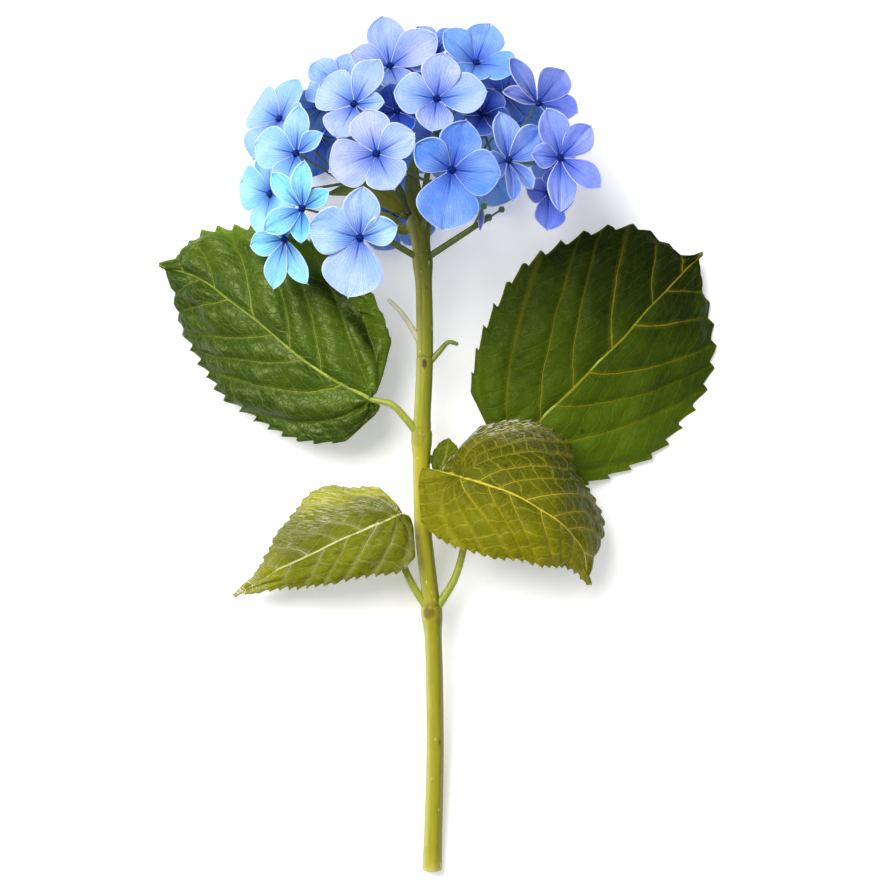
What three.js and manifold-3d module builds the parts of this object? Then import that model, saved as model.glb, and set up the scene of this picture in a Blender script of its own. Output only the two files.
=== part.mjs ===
// A cut hydrangea: one flowering stem with its leaves, lying on a table on the back of its flower head.
//
// Every piece is modelled in the plant's own frame and then leant with the whole plant:
//   +Y runs up the stem from the cut end, +X is to the right of somebody facing the flower,
//   +Z comes out of the face of the flower, and the stem's axis is near X = Z = 0.
// The outer group leans the plant back until its cut end and the back of its head both rest on Z = 0.
import * as THREE from "three";
import { mergeVertices } from "three/addons/utils/BufferGeometryUtils.js";
import Module from "manifold-3d";

const wasm = await Module();
wasm.setup();

// ---------------------------------------------------------------- driving dimensions, mm and degrees
const GAP = 0.3; // left between pieces that meet

// The stem, and the lengths between the places where something grows from it.
const STEM_RADIUS = 3.8;
const CUT_END_RADIUS = 4.3;
const NODE_SWELL = 0.9; // how much the radius grows at a joint of the stem
const KNOB_RADIUS = 5.8; // where the stem ends under the flower head
const CUT_TO_LOWER_LEAVES = 115;
const LOWER_TO_UPPER_LEAVES = 79;
const UPPER_LEAVES_TO_SCARS = 38;
const SCARS_TO_FIRST_RAYS = 42;
const FIRST_RAYS_TO_KNOB = 17;

// The flower head: the dome that the florets' centres lie on, about its own middle.
const HEAD_ACROSS = 72;
const HEAD_UP = 60;
const HEAD_FRONT = 50;
const HEAD_BACK = 36;
const HEAD_ABOVE_KNOB = 14;
const HEAD_SIDEWAYS = -5;

// Florets.
const SEPAL_LENGTH = 20;
const SEPAL_THICKNESS = 0.9; // down its middle; its rim is sharp
const SEPAL_STEPS = 5;
const SEPAL_WIDTH = 0.96; // of its own length
const SEPAL_RISE = 0.3; // slope of a sepal where it leaves the eye
const SEPAL_BOW = 0.22; // how far it bends back again towards its tip
const SEPAL_ROOM = 3.1; // least distance between the sheets of two florets
const STALK_ROOM = 4; // and between a sheet and somebody else's stalk
const EYE_RADIUS = 2.1;

// Branches inside the head.
const RAY_RADIUS = 1.7;
const HUB_RADIUS = 2.1;
const PEDICEL_RADIUS = 0.65;
const BUD_RADIUS = 1.8;

// Leaves.
const LEAF_THICKNESS = 0.7;
const PETIOLE_RADIUS = 1.9;
const STUB_RADIUS = 1.6;

// How the plant lies.
const LEAN = 7.6;
const LEAF_SIDES = 6; // facets across a blade
const LEAF_STEPS = 10; // facets along a blade

// Heights along the stem.
const LOWER_LEAVES = CUT_TO_LOWER_LEAVES;
const UPPER_LEAVES = LOWER_LEAVES + LOWER_TO_UPPER_LEAVES;
const SCARS = UPPER_LEAVES + UPPER_LEAVES_TO_SCARS;
const FIRST_RAYS = SCARS + SCARS_TO_FIRST_RAYS;
const KNOB = FIRST_RAYS + FIRST_RAYS_TO_KNOB;
const HEAD = new THREE.Vector3(HEAD_SIDEWAYS, KNOB + HEAD_ABOVE_KNOB, 0);

const rad = THREE.MathUtils.degToRad;
const vec = (x, y, z) => new THREE.Vector3(x, y, z);

// ---------------------------------------------------------------- materials
const finish = (color, roughness) => new THREE.MeshStandardMaterial({ color, roughness, metalness: 0 });
const STEM_GREEN = finish(0x8a9a2e, 0.55);
const RAY_GREEN = finish(0x55692a, 0.6);
const LEAF_GREEN = finish(0x3f6420, 0.5);
const YOUNG_GREEN = finish(0x8b9422, 0.5);
const STUB_TAN = finish(0xb9b98a, 0.7);
const SEPAL_BLUE = finish(0x8fb0ee, 0.6);

// ---------------------------------------------------------------- shaping and joining
// Moves every vertex of a stock geometry to where a rule puts it.
function shaped(geometry, rule) {
  const position = geometry.getAttribute("position");
  const at = new THREE.Vector3();
  for (let i = 0; i < position.count; i++) {
    const moved = rule(at.fromBufferAttribute(position, i));
    position.setXYZ(i, moved.x, moved.y, moved.z);
  }
  return geometry;
}

// A round tube along a curve. radiusAt gives its radius at a share of the curve's length.
function tube(curve, radiusAt, sides, steps) {
  const frames = curve.computeFrenetFrames(steps, false);
  const unit = new THREE.CylinderGeometry(1, 1, 1, sides, steps).translate(0, 0.5, 0);
  return shaped(unit, (p) => {
    const step = Math.round(p.y * steps);
    const centre = curve.getPointAt(step / steps);
    const radius = radiusAt(step / steps);
    return centre
      .addScaledVector(frames.normals[step], p.z * radius)
      .addScaledVector(frames.binormals[step], p.x * radius);
  });
}

// A thin closed sheet. middle gives its middle surface at (along 0..1, across -1..1).
function sheet(middle, thickness, across, steps) {
  const nudge = 0.01;
  const unit = new THREE.BoxGeometry(2, 1, 1, across, steps, 1).translate(0, 0.5, 0);
  return shaped(unit, (p) => {
    const [s, t] = [p.y, p.x];
    const along = middle(Math.min(1, s + nudge), t).sub(middle(Math.max(0, s - nudge), t));
    const over = middle(s, Math.min(1, t + nudge)).sub(middle(s, Math.max(-1, t - nudge)));
    const normal = over.cross(along).normalize();
    return middle(s, t).addScaledVector(normal, p.z * thickness);
  });
}

// A thin closed sheet that sharpens towards its rim and comes to a point at both ends.
function petal(middle, thickness, steps) {
  const up = new THREE.Vector3();
  return shaped(new THREE.SphereGeometry(1, 4, steps).toNonIndexed(), (p) => {
    const s = Math.acos(THREE.MathUtils.clamp(-p.y, -1, 1)) / Math.PI;
    const ring = Math.sqrt(Math.max(1e-12, 1 - p.y * p.y));
    const [t, side] = [Math.round(p.x / ring), Math.round(p.z / ring)];
    const [before, after] = [Math.max(0, s - 0.02), Math.min(1, s + 0.02)];
    up.subVectors(middle(s, 1), middle(s, -1)).cross(middle(after, 0).sub(middle(before, 0))).normalize();
    const swell = ring > 1e-3 ? side * thickness * 0.5 : 0;
    return middle(s, ring > 1e-3 ? t : 0).addScaledVector(up, swell);
  });
}

// A geometry as a manifold-3d solid, and back.
function solid(geometry) {
  const bare = geometry.clone();
  bare.deleteAttribute("normal");
  bare.deleteAttribute("uv");
  const merged = mergeVertices(bare, 1e-3);
  return new wasm.Manifold(
    new wasm.Mesh({
      numProp: 3,
      vertProperties: merged.getAttribute("position").array,
      triVerts: new Uint32Array(merged.index.array),
    }),
  );
}

function geometryOf(made) {
  const mesh = made.getMesh();
  return new THREE.BufferGeometry()
    .setAttribute("position", new THREE.BufferAttribute(new Float32Array(mesh.vertProperties), 3))
    .setIndex(new THREE.BufferAttribute(new Uint32Array(mesh.triVerts), 1));
}

const joined = (geometries) => geometries.map(solid).reduce((all, next) => all.add(next));

function named(name, made, material) {
  const geometry = geometryOf(made);
  geometry.computeVertexNormals();
  const mesh = new THREE.Mesh(geometry, material);
  mesh.name = name;
  return mesh;
}

// A repeatable number from -1 to 1, for the small differences between grown pieces.
function variation(index, kind) {
  const wave = Math.sin(index * 12.9898 + kind * 78.233) * 43758.5453;
  return 2 * (wave - Math.floor(wave)) - 1;
}

// ---------------------------------------------------------------- the stem
// The stem isn't quite straight: it leans a little to the left above the lower leaves.
const STEM_CURVE = new THREE.CatmullRomCurve3([
  vec(0, 0, 0),
  vec(1.4, CUT_TO_LOWER_LEAVES * 0.5, 0.4),
  vec(0, LOWER_LEAVES, 0),
  vec(-4, (LOWER_LEAVES + UPPER_LEAVES) / 2, -0.5),
  vec(-4.6, UPPER_LEAVES, 0),
  vec(-3.2, SCARS, 0.3),
  vec(-4.2, FIRST_RAYS, 0),
  vec(-6, KNOB, 0),
]);
const STEM_STEPS = 28;
const STEM_SIDES = 10;
const SWELL_REACH = 6; // mm of stem over which a joint's swelling fades

// The point on the stem's axis at a height.
function stemAt(height) {
  let best = STEM_CURVE.getPointAt(0);
  for (let step = 0; step <= 400; step++) {
    const point = STEM_CURVE.getPointAt(step / 400);
    if (Math.abs(point.y - height) < Math.abs(best.y - height)) best = point;
  }
  return best;
}

function stemRadius(height) {
  const cutEnd = (CUT_END_RADIUS - STEM_RADIUS) * Math.exp(-height / 25);
  const swellings = [LOWER_LEAVES, UPPER_LEAVES, FIRST_RAYS].map(
    (joint) => NODE_SWELL * Math.exp(-(((height - joint) / SWELL_REACH) ** 2)),
  );
  return STEM_RADIUS + cutEnd + Math.max(...swellings);
}

function stemSolid(extra) {
  const radiusAt = (share) => stemRadius(STEM_CURVE.getPointAt(share).y) + extra;
  const stalk = tube(STEM_CURVE, radiusAt, STEM_SIDES, STEM_STEPS);
  const knob = new THREE.IcosahedronGeometry(KNOB_RADIUS + extra, 1).translate(...stemAt(KNOB).toArray());
  return joined([stalk, knob]);
}

// What is left of a piece that starts inside the stem, once the stem and a gap are cut from it.
const FAT_STEM = stemSolid(GAP);
const seated = (made) => made.subtract(FAT_STEM);

// ---------------------------------------------------------------- leaves
// joint: the height on the stem that a leaf's points are measured up from; root: where it grows from,
// and petiole: the stalk's way on to the blade; midrib: the blade's middle line, base to tip; face:
// which way the upper side looks at the base and at the tip. Then one entry for each half, looking
// from base to tip at the upper side: its greatest width, how far along that is, how blunt it is (a
// larger number is blunter), how far its lobe reaches back past the base (as shares of the length),
// and how far its edge hangs below the midrib.
const LEAVES = [
  {
    name: "leaf_upper_left",
    joint: UPPER_LEAVES,
    root: vec(-4.6, 0, 0),
    petiole: [vec(-12, 9.5, 3), vec(-18, 15.5, 4)],
    midrib: [vec(-28, 18, 3), vec(-53, 32, 0), vec(-84, 57, -9), vec(-108, 74, -20), vec(-126, 80, -30)],
    face: [vec(0.05, -0.1, 1), vec(-0.2, -0.2, 1)],
    left: { width: 37, fullest: 0.4, blunt: 2.3, lobe: 0.05, droop: 6 },
    right: { width: 47, fullest: 0.43, blunt: 1.5, lobe: 0, droop: 13 },
  },
  {
    name: "leaf_upper_right",
    joint: UPPER_LEAVES,
    root: vec(-4.5, -8, -1),
    petiole: [vec(8, -11, -9), vec(22, -10, -13)],
    midrib: [vec(37, -3, -14), vec(59, 18, -14), vec(86, 45, -18), vec(109, 70, -25), vec(125, 86, -32)],
    face: [vec(0.1, -0.1, 1), vec(0.3, -0.1, 1)],
    left: { width: 54, fullest: 0.47, blunt: 2.1, lobe: 0.04, droop: 11 },
    right: { width: 50, fullest: 0.45, blunt: 2.1, lobe: 0.04, droop: 3 },
  },
  {
    name: "leaf_lower_left",
    joint: LOWER_LEAVES,
    root: vec(0, 0, 0),
    petiole: [vec(-9, 14, 2), vec(-15, 29, 3)],
    midrib: [vec(-16, 45, 10), vec(-37, 36, 11), vec(-58, 26, 8), vec(-75, 17, 1), vec(-90, 8, -8)],
    face: [vec(-0.1, 0.5, 0.9), vec(-0.3, 0.4, 0.9)],
    left: { width: 22, fullest: 0.14, blunt: 0.85, lobe: 0.07, droop: 9 },
    right: { width: 28, fullest: 0.33, blunt: 1.35, lobe: 0.03, droop: 8 },
  },
  {
    name: "leaf_lower_right",
    joint: LOWER_LEAVES,
    root: vec(0, 0, 0),
    petiole: [vec(10, 16, 1), vec(15, 35, 3), vec(15, 53, 10)],
    midrib: [vec(12.5, 62.5, 19), vec(33, 56, 25), vec(52, 45.5, 24), vec(66, 32, 14), vec(70.5, 13.5, 3)],
    face: [vec(-0.1, 0.3, 1), vec(0.5, 0.2, 0.8)],
    left: { width: 42, fullest: 0.3, blunt: 1.6, lobe: 0.14, droop: 20 },
    right: { width: 30, fullest: 0.2, blunt: 1.3, lobe: 0.17, droop: 8 },
  },
  {
    name: "leaf_young",
    joint: UPPER_LEAVES,
    root: vec(-4.5, -19, 0),
    petiole: [vec(1, -16, 0.5)],
    midrib: [vec(3.5, -14, 0.5), vec(6, -8, 0.5), vec(7.5, 0.5, -0.5)],
    face: [vec(0, 0.1, 1), vec(0, 0.4, 1)],
    left: { width: 6, fullest: 0.45, blunt: 1.8, lobe: 0.1, droop: 1 },
    right: { width: 7, fullest: 0.4, blunt: 1.6, lobe: 0.1, droop: 1 },
  },
].map((leaf) => {
  for (const point of [leaf.root, ...leaf.petiole, ...leaf.midrib]) point.y += leaf.joint;
  return leaf;
});

// Share of a half blade's full width at a share of its length: rounded base, then drawn in to the tip.
function bladeOutline(s, half) {
  const before = (half.fullest - s) / (half.fullest + 0.04);
  const after = (s - half.fullest) / (1 - half.fullest);
  const share = s < half.fullest ? Math.sqrt(1 - before ** 2) : (1 - after ** half.blunt) ** 0.75;
  return Math.max(0.012, share);
}

// A blade's middle surface.
function blade(leaf) {
  const midrib = new THREE.CatmullRomCurve3(leaf.midrib);
  const tip = leaf.midrib[leaf.midrib.length - 1];
  const length = leaf.midrib[0].distanceTo(tip);
  return (s, t) => {
    const tangent = midrib.getTangentAt(s);
    const face = leaf.face[0].clone().lerp(leaf.face[1], s);
    const across = tangent.clone().cross(face).normalize();
    const normal = across.clone().cross(tangent).normalize();
    const half = t < 0 ? leaf.left : leaf.right;
    const share = bladeOutline(s, half);
    const back = half.lobe * length * Math.max(0, 1 - s / 0.35) ** 1.5 * Math.sqrt(Math.abs(t));
    return midrib
      .getPointAt(s)
      .addScaledVector(across, t * half.width * share)
      .addScaledVector(normal, -half.droop * t * t * share)
      .addScaledVector(tangent, -back);
  };
}

function leafSolid(leaf) {
  const surface = sheet(blade(leaf), LEAF_THICKNESS, LEAF_SIDES, LEAF_STEPS);
  const way = [leaf.root, ...leaf.petiole, leaf.midrib[0], leaf.midrib[0].clone().lerp(leaf.midrib[1], 0.12)];
  const slim = leaf.name === "leaf_young" ? 0.45 : 1;
  const stalk = tube(new THREE.CatmullRomCurve3(way), (s) => slim * PETIOLE_RADIUS * (1 - 0.35 * s), 7, 9);
  return seated(joined([surface, stalk]));
}

// ---------------------------------------------------------------- the stalks of two lost leaves
const STUBS = [
  { name: "leaf_stub_left", root: SCARS + 1, way: [vec(-8.5, SCARS + 11, 1), vec(-14, SCARS + 19, 2), vec(-20, SCARS + 25, 2)] },
  { name: "leaf_stub_right", root: SCARS - 6, way: [vec(3, SCARS + 1, 1), vec(7.5, SCARS + 5.5, 2), vec(12, SCARS + 4.5, 2)] },
];

function stubSolid(stub) {
  const way = new THREE.CatmullRomCurve3([stemAt(stub.root), ...stub.way]);
  return seated(solid(tube(way, (s) => STUB_RADIUS * (1 - 0.45 * s), 7, 7)));
}

// ---------------------------------------------------------------- florets
// Each floret of the front: where its eye is (to the right, up, out of the head's face, as shares of
// the head's half sizes), which way it faces (turned to the right, tipped up) and its sepals, each
// with its angle, counter-clockwise from the right as seen from the front, and its length.
// A floret with no sepals in its row has four nearly equal ones, the first of them at spin. cup adds
// to the slope of its sepals.
const FRONT_FLORETS = [
  { at: [0.19, 0.08, 0.96], turn: 4, tip: -5, sepals: [[74, 22], [-6, 21], [262, 26], [146, 19]] },
  { at: [0.1, 0.62, 0.7], turn: 4, tip: 14, sepals: [[82, 20], [173, 18.5], [263, 16], [8, 22]] },
  { at: [-0.26, 0.2, 0.92], turn: -6, tip: 4, sepals: [[103, 20], [27, 18.5], [202, 21.5], [297, 18]] },
  { at: [-0.41, 0.58, 0.66], turn: -16, tip: 14, sepals: [[146, 20], [58, 22], [-3, 14], [252, 18]] },
  { at: [-0.74, 0.23, 0.66], turn: -20, tip: 6, sepals: [[86, 21], [32, 15], [166, 20], [255, 15]] },
  { at: [-0.71, -0.18, 0.74], turn: -14, tip: -4, sepals: [[130, 20.5], [84, 20.5], [30, 14.5], [210, 18.5], [268, 15]] },
  { at: [-0.83, -0.38, 0.44], turn: -22, tip: -16, sepals: [[190, 16], [255, 23], [299, 22], [92, 14]] },
  { at: [-0.36, -0.4, 0.86], turn: -5, tip: -8, sepals: [[84, 22], [18, 17.5], [259, 26], [164, 22]] },
  { at: [0.85, 0.2, 0.6], turn: 18, tip: 2, sepals: [[108, 22], [46, 20], [178, 14], [322, 21], [268, 23.5]] },
  { at: [0.53, 0.17, 0.72], turn: 36, tip: 4, sepals: [[104, 21], [40, 22], [318, 17], [272, 18], [200, 15]] },
  { at: [0.72, 0.62, 0.4], turn: 20, tip: 24, cup: 0.2, sepals: [[132, 22], [52, 18], [178, 18], [338, 17]] },
  { at: [0.34, 0.93, 0.3], turn: 14, tip: 30, cup: 0.3, sepals: [[70, 19], [150, 18], [250, 15], [335, 18]] },
  { at: [-0.19, 0.92, 0.25], turn: 0, tip: 20, sepals: [[98, 23], [30, 24], [165, 18], [290, 14]] },
  { at: [-0.5, 0.79, 0.1], turn: -20, tip: 30, sepals: [[66, 18], [140, 17], [215, 16], [320, 15]] },
  { at: [0.08, 1, 0.05], turn: 4, tip: 30, sepals: [[115, 17], [55, 16], [200, 16], [320, 16]] },
  { at: [-0.86, 0.52, 0.2], turn: -42, tip: 20, spin: 60 },
  { at: [-0.94, -0.02, 0.2], turn: -50, tip: -4, spin: 75 },
  { at: [0.79, -0.03, 0.3], turn: 30, tip: -10, sepals: [[262, 16], [345, 13], [95, 11], [170, 13]] },
  { at: [-0.17, 0.55, 0.44], turn: -4, tip: 16, sepals: [[15, 14], [105, 13], [195, 14], [285, 13]] },
  { at: [0.38, 0.54, 0.38], turn: 16, tip: 26, sepals: [[65, 14], [155, 14], [245, 14], [335, 13]] },
];

// Behind them a row of florets stands round the rim of the head, and the rest fill its back in a spiral.
const RIM_FLORETS = 4;
const BACK_FLORETS = 7;
const RIM_FROM = 2; // degrees round from the right
const RIM_TO = 140;
const GOLDEN_ANGLE = 137.5;
function rimFloret(index) {
  const round = rad(RIM_FROM + ((RIM_TO - RIM_FROM) * index) / (RIM_FLORETS - 1));
  const [x, y] = [Math.cos(round), Math.sin(round)];
  return { at: [0.8 * x, 0.22 + 0.66 * y, -0.35], facing: vec(x, y, -0.5), spin: index * 34 };
}
function backFloret(index) {
  const reach = Math.sqrt((index + 0.5) / BACK_FLORETS);
  const round = rad(index * GOLDEN_ANGLE + 60);
  const [x, y] = [reach * Math.cos(round), reach * Math.sin(round)];
  return { at: [0.7 * x, 0.36 + 0.52 * y, -0.95], facing: vec(0.5 * x, 0.5 * y, -1), spin: index * 40 };
}

// A point of the head, from shares of its half sizes.
function inHead([x, y, z]) {
  return vec(x * HEAD_ACROSS, y * HEAD_UP, z * (z < 0 ? HEAD_BACK : HEAD_FRONT)).add(HEAD);
}

// A floret's axes in the plant's frame, its home, and its sepals with their angle and length.
function floretPlan(row, index) {
  const [turn, tip] = [rad(row.turn ?? 0), rad(row.tip ?? 0)];
  const facing =
    row.facing?.normalize() ??
    vec(Math.sin(turn) * Math.cos(tip), Math.sin(tip), Math.cos(turn) * Math.cos(tip));
  const sepals =
    row.sepals ??
    [0, 1, 2, 3].map((k) => [row.spin + k * 90 + 6 * variation(index, k), 20 * (1 + 0.12 * variation(index, k + 4))]);
  return {
    name: "floret_" + String(index + 1).padStart(2, "0"),
    index,
    measured: Boolean(row.sepals),
    at: inHead(row.at),
    facing,
    turned: new THREE.Quaternion().setFromUnitVectors(vec(0, 0, 1), facing),
    sepals: sepals.map(([angle, length], k) => ({
      angle: rad(angle),
      length: (length * SEPAL_LENGTH) / 20,
      rise: SEPAL_RISE + (row.cup ?? 0) + 0.09 * variation(index, k + 8),
      bow: SEPAL_BOW + 0.08 * variation(index, k + 12),
      curl: 0.1 + 0.12 * variation(index, k + 16),
    })),
  };
}

// Share of a sepal's full half width at a share of its length: a narrow claw and a broad, blunt blade.
function sepalOutline(s) {
  return Math.max(0, Math.sin(Math.PI * s ** 1.25)) ** 0.72;
}

// The room that a sepal has on each side before its neighbour, as a share of its length.
function sepalWidth(floret, sepal) {
  const gaps = floret.sepals
    .filter((other) => other !== sepal)
    .map((other) => Math.abs(Math.atan2(Math.sin(other.angle - sepal.angle), Math.cos(other.angle - sepal.angle))));
  return Math.min(SEPAL_WIDTH, 1.06 * Math.tan(Math.min(...gaps) / 2));
}

// A sepal's middle surface in the floret's own frame, where +Z is the way it faces.
function sepalSurface(floret, sepal) {
  const half = (sepalWidth(floret, sepal) * sepal.length) / 2;
  const start = EYE_RADIUS * 0.4;
  const along = vec(Math.cos(sepal.angle), Math.sin(sepal.angle), 0);
  const over = vec(-Math.sin(sepal.angle), Math.cos(sepal.angle), 0);
  return (s, t) => {
    const height = sepal.length * (sepal.rise * s - sepal.bow * s * s + sepal.curl * 0.3 * t * t * Math.sin(Math.PI * s));
    return vec(0, 0, height)
      .addScaledVector(along, start + (sepal.length - start) * s)
      .addScaledVector(over, t * half * sepalOutline(s));
  };
}

function floretSolid(floret) {
  const sepals = floret.sepals.map((sepal) => petal(sepalSurface(floret, sepal), SEPAL_THICKNESS, SEPAL_STEPS));
  const eye = new THREE.IcosahedronGeometry(EYE_RADIUS, 0).scale(1, 1, 0.8);
  const placed = [eye, ...sepals].map((g) => g.applyQuaternion(floret.turned).translate(...floret.at.toArray()));
  return joined(placed);
}

// ---------------------------------------------------------------- rays
// The branches of the head: where each leaves the stem, and where the hub of its florets' stalks and
// its unopened buds are, as shares of the head's half sizes.
const RAYS = [
  { name: "ray_lower_left", from: FIRST_RAYS, hub: [-0.35, -0.27, 0.24], buds: [[-0.11, -0.18, 0.16]] },
  { name: "ray_lower_right", from: FIRST_RAYS, hub: [0.42, -0.2, 0.16], buds: [[0.5, -0.15, 0.28], [0.39, -0.13, 0.34]] },
  { name: "ray_front", from: KNOB - 7, hub: [0.06, 0.03, 0.44] },
  { name: "ray_back", from: KNOB - 7, hub: [0.03, 0.07, -0.39] },
  { name: "ray_left", from: KNOB, hub: [-0.47, 0.07, 0] },
  { name: "ray_right", from: KNOB, hub: [0.47, 0.2, 0.08] },
  { name: "ray_crown", from: KNOB, hub: [0.08, 0.4, 0.12] },
  { name: "ray_crown_left", from: KNOB, hub: [-0.28, 0.33, 0.12] },
  { name: "ray_back_left", from: KNOB, hub: [-0.3, 0.24, -0.42] },
  { name: "ray_back_right", from: KNOB - 3, hub: [0.31, 0.23, -0.44] },
].map((ray) => ({ ...ray, hub: inHead(ray.hub), buds: (ray.buds ?? []).map(inHead) }));

function rayWay(ray) {
  const root = stemAt(ray.from);
  const bend = root.clone().lerp(ray.hub, 0.5).add(vec(0, ray.hub.y > root.y + 12 ? 0 : -3, 0));
  return new THREE.QuadraticBezierCurve3(root, bend, ray.hub);
}

// A floret's stalk, from a hub to just under the eye. bend says how long it keeps to the floret's axis
// (as a share of the whole way) and how far it swerves to either side.
const RECEPTACLE = EYE_RADIUS * 0.8 + GAP; // from a floret's centre down to the top of its stalk
function pedicelWay(floret, hub = floret.ray.hub, bend = floret.bend) {
  const down = RECEPTACLE + bend.keep * hub.distanceTo(floret.at);
  const top = floret.at.clone().addScaledVector(floret.facing, -RECEPTACLE);
  const corner = vec(bend.x, bend.y, -down).applyQuaternion(floret.turned).add(floret.at);
  return new THREE.QuadraticBezierCurve3(hub, corner, top);
}

// Each floret takes the hub and the bend that leave its stalk clearest of the sheets and the other rays.
const PLAIN_BENDS = [0.15, 0.3, 0.5, 0.7, 0.9].map((keep) => ({ keep, x: 0, y: 0 }));
const SWERVE = 7;
const ALL_BENDS = PLAIN_BENDS.flatMap((bend) =>
  [[0, 0], [1, 0], [-1, 0], [0, 1], [0, -1]].map(([x, y]) => ({ ...bend, x: x * SWERVE, y: y * SWERVE })),
);
const HUBS_TRIED = 6;
const STALKS_APART = RAY_RADIUS + 1.35 * PEDICEL_RADIUS + GAP;
const nearest = (points, others) =>
  Math.sqrt(Math.min(...points.map((p) => others.reduce((least, q) => Math.min(least, p.distanceToSquared(q)), 1e4))));
function chooseStalk(floret, florets, sheets, bends) {
  const hubs = [...RAYS].sort((a, b) => a.hub.distanceTo(floret.at) - b.hub.distanceTo(floret.at));
  let best = -Infinity;
  for (const ray of hubs.slice(0, HUBS_TRIED)) {
    const others = [
      ...RAYS.filter((other) => other !== ray).flatMap((other) => rayWay(other).getPoints(12).slice(3)),
      ...florets
        .filter((other) => other !== floret && other.ray && other.ray !== ray)
        .flatMap((other) => pedicelWay(other).getPoints(16)),
    ];
    for (const bend of bends) {
      const points = pedicelWay(floret, ray.hub, bend).getPoints(16);
      const clear = Math.min(nearest(points.slice(1, 13), sheets), STALK_ROOM);
      const apart = Math.min(nearest(points, others), STALKS_APART);
      const merit = clear + 2 * apart - 0.03 * ray.hub.distanceTo(floret.at);
      if (merit <= best) continue;
      best = merit;
      Object.assign(floret, { ray, bend });
    }
  }
}

function raySolid(ray, florets) {
  const stalk = tube(rayWay(ray), (s) => RAY_RADIUS * (1 - 0.2 * s), 7, 5);
  const knuckle = new THREE.IcosahedronGeometry(HUB_RADIUS, 0).translate(...ray.hub.toArray());
  const stalks = florets.map((floret) => tube(pedicelWay(floret), (s) => PEDICEL_RADIUS * (1.35 - 0.35 * s), 5, 4));
  const buds = ray.buds.flatMap((at) => [
    new THREE.IcosahedronGeometry(BUD_RADIUS, 0).translate(...at.toArray()),
    tube(new THREE.LineCurve3(rayWay(ray).getPointAt(0.75), at), () => PEDICEL_RADIUS, 5, 1),
  ]);
  return seated(joined([stalk, knuckle, ...stalks, ...buds]));
}

// ---------------------------------------------------------------- settling the florets
// Petals push each other apart, and make room for the stalks, the stem and the leaves; the florets
// that reach below the table step up. It stops once nothing touches.
const SETTLING_STEPS = 300;
const TABLE_ROOM = SEPAL_THICKNESS / 2 + 0.05;
const MEASURED_GIVES = vec(0.25, 0.25, 1); // how freely a floret moves: right, up, out
const OTHERS_GIVE = vec(1, 1, 1);
const HOMING = 0.03; // share of the way home that a floret tries to go back in each step
const MOST_DRIFT = 11; // mm from home
const LOOSE = 0.6; // share of the steps in which they still go home and choose other stalks
const LAST_CHOICE = 0.7; // share of the steps after which each takes its last stalk, swerving if it must

// How high a point of the plant's frame is above the table once the plant is leant.
const [SIN_LEAN, COS_LEAN] = [Math.sin(rad(LEAN)), Math.cos(rad(LEAN))];
const aboveTable = (p) => p.y * SIN_LEAN + p.z * COS_LEAN + CUT_END_RADIUS * COS_LEAN;

// Points spread over a floret's sheets, relative to its centre.
function feelers(floret) {
  const points = [];
  for (const sepal of floret.sepals) {
    const surface = sepalSurface(floret, sepal);
    for (const s of [0.12, 0.27, 0.4, 0.52, 0.64, 0.76, 0.88, 1])
      for (const t of [-1, -0.5, 0, 0.5, 1]) points.push(surface(s, t));
  }
  return points.map((p) => p.applyQuaternion(floret.turned));
}

// Points of the pieces that do not move: rays, stem and leaves.
function obstacles() {
  const points = RAYS.flatMap((ray) => rayWay(ray).getPoints(20));
  for (let height = SCARS; height < KNOB; height += 3) points.push(stemAt(height));
  for (const leaf of LEAVES.slice(0, 2)) {
    const surface = blade(leaf);
    for (let s = 0.1; s <= 1; s += 0.05) for (let t = -1; t <= 1; t += 0.125) points.push(surface(s, t));
  }
  return points;
}

// The sum of the pushes that the points of one piece get from the points of another.
function push(mine, theirs, centre, room) {
  const near = theirs.filter((q) => q.distanceToSquared(centre) < (1.2 * SEPAL_LENGTH + room + 4) ** 2);
  const sum = vec(0, 0, 0);
  let count = 0;
  for (const p of near.length ? mine : [])
    for (const q of near) {
      const [dx, dy, dz] = [p.x - q.x, p.y - q.y, p.z - q.z];
      const squared = dx * dx + dy * dy + dz * dz;
      if (squared >= room * room) continue;
      const share = room / (Math.sqrt(squared) + 1e-6) - 1;
      sum.x += dx * share;
      sum.y += dy * share;
      sum.z += dz * share;
      count++;
    }
  return count ? sum.multiplyScalar(0.7 / Math.sqrt(count)) : sum;
}

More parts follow.
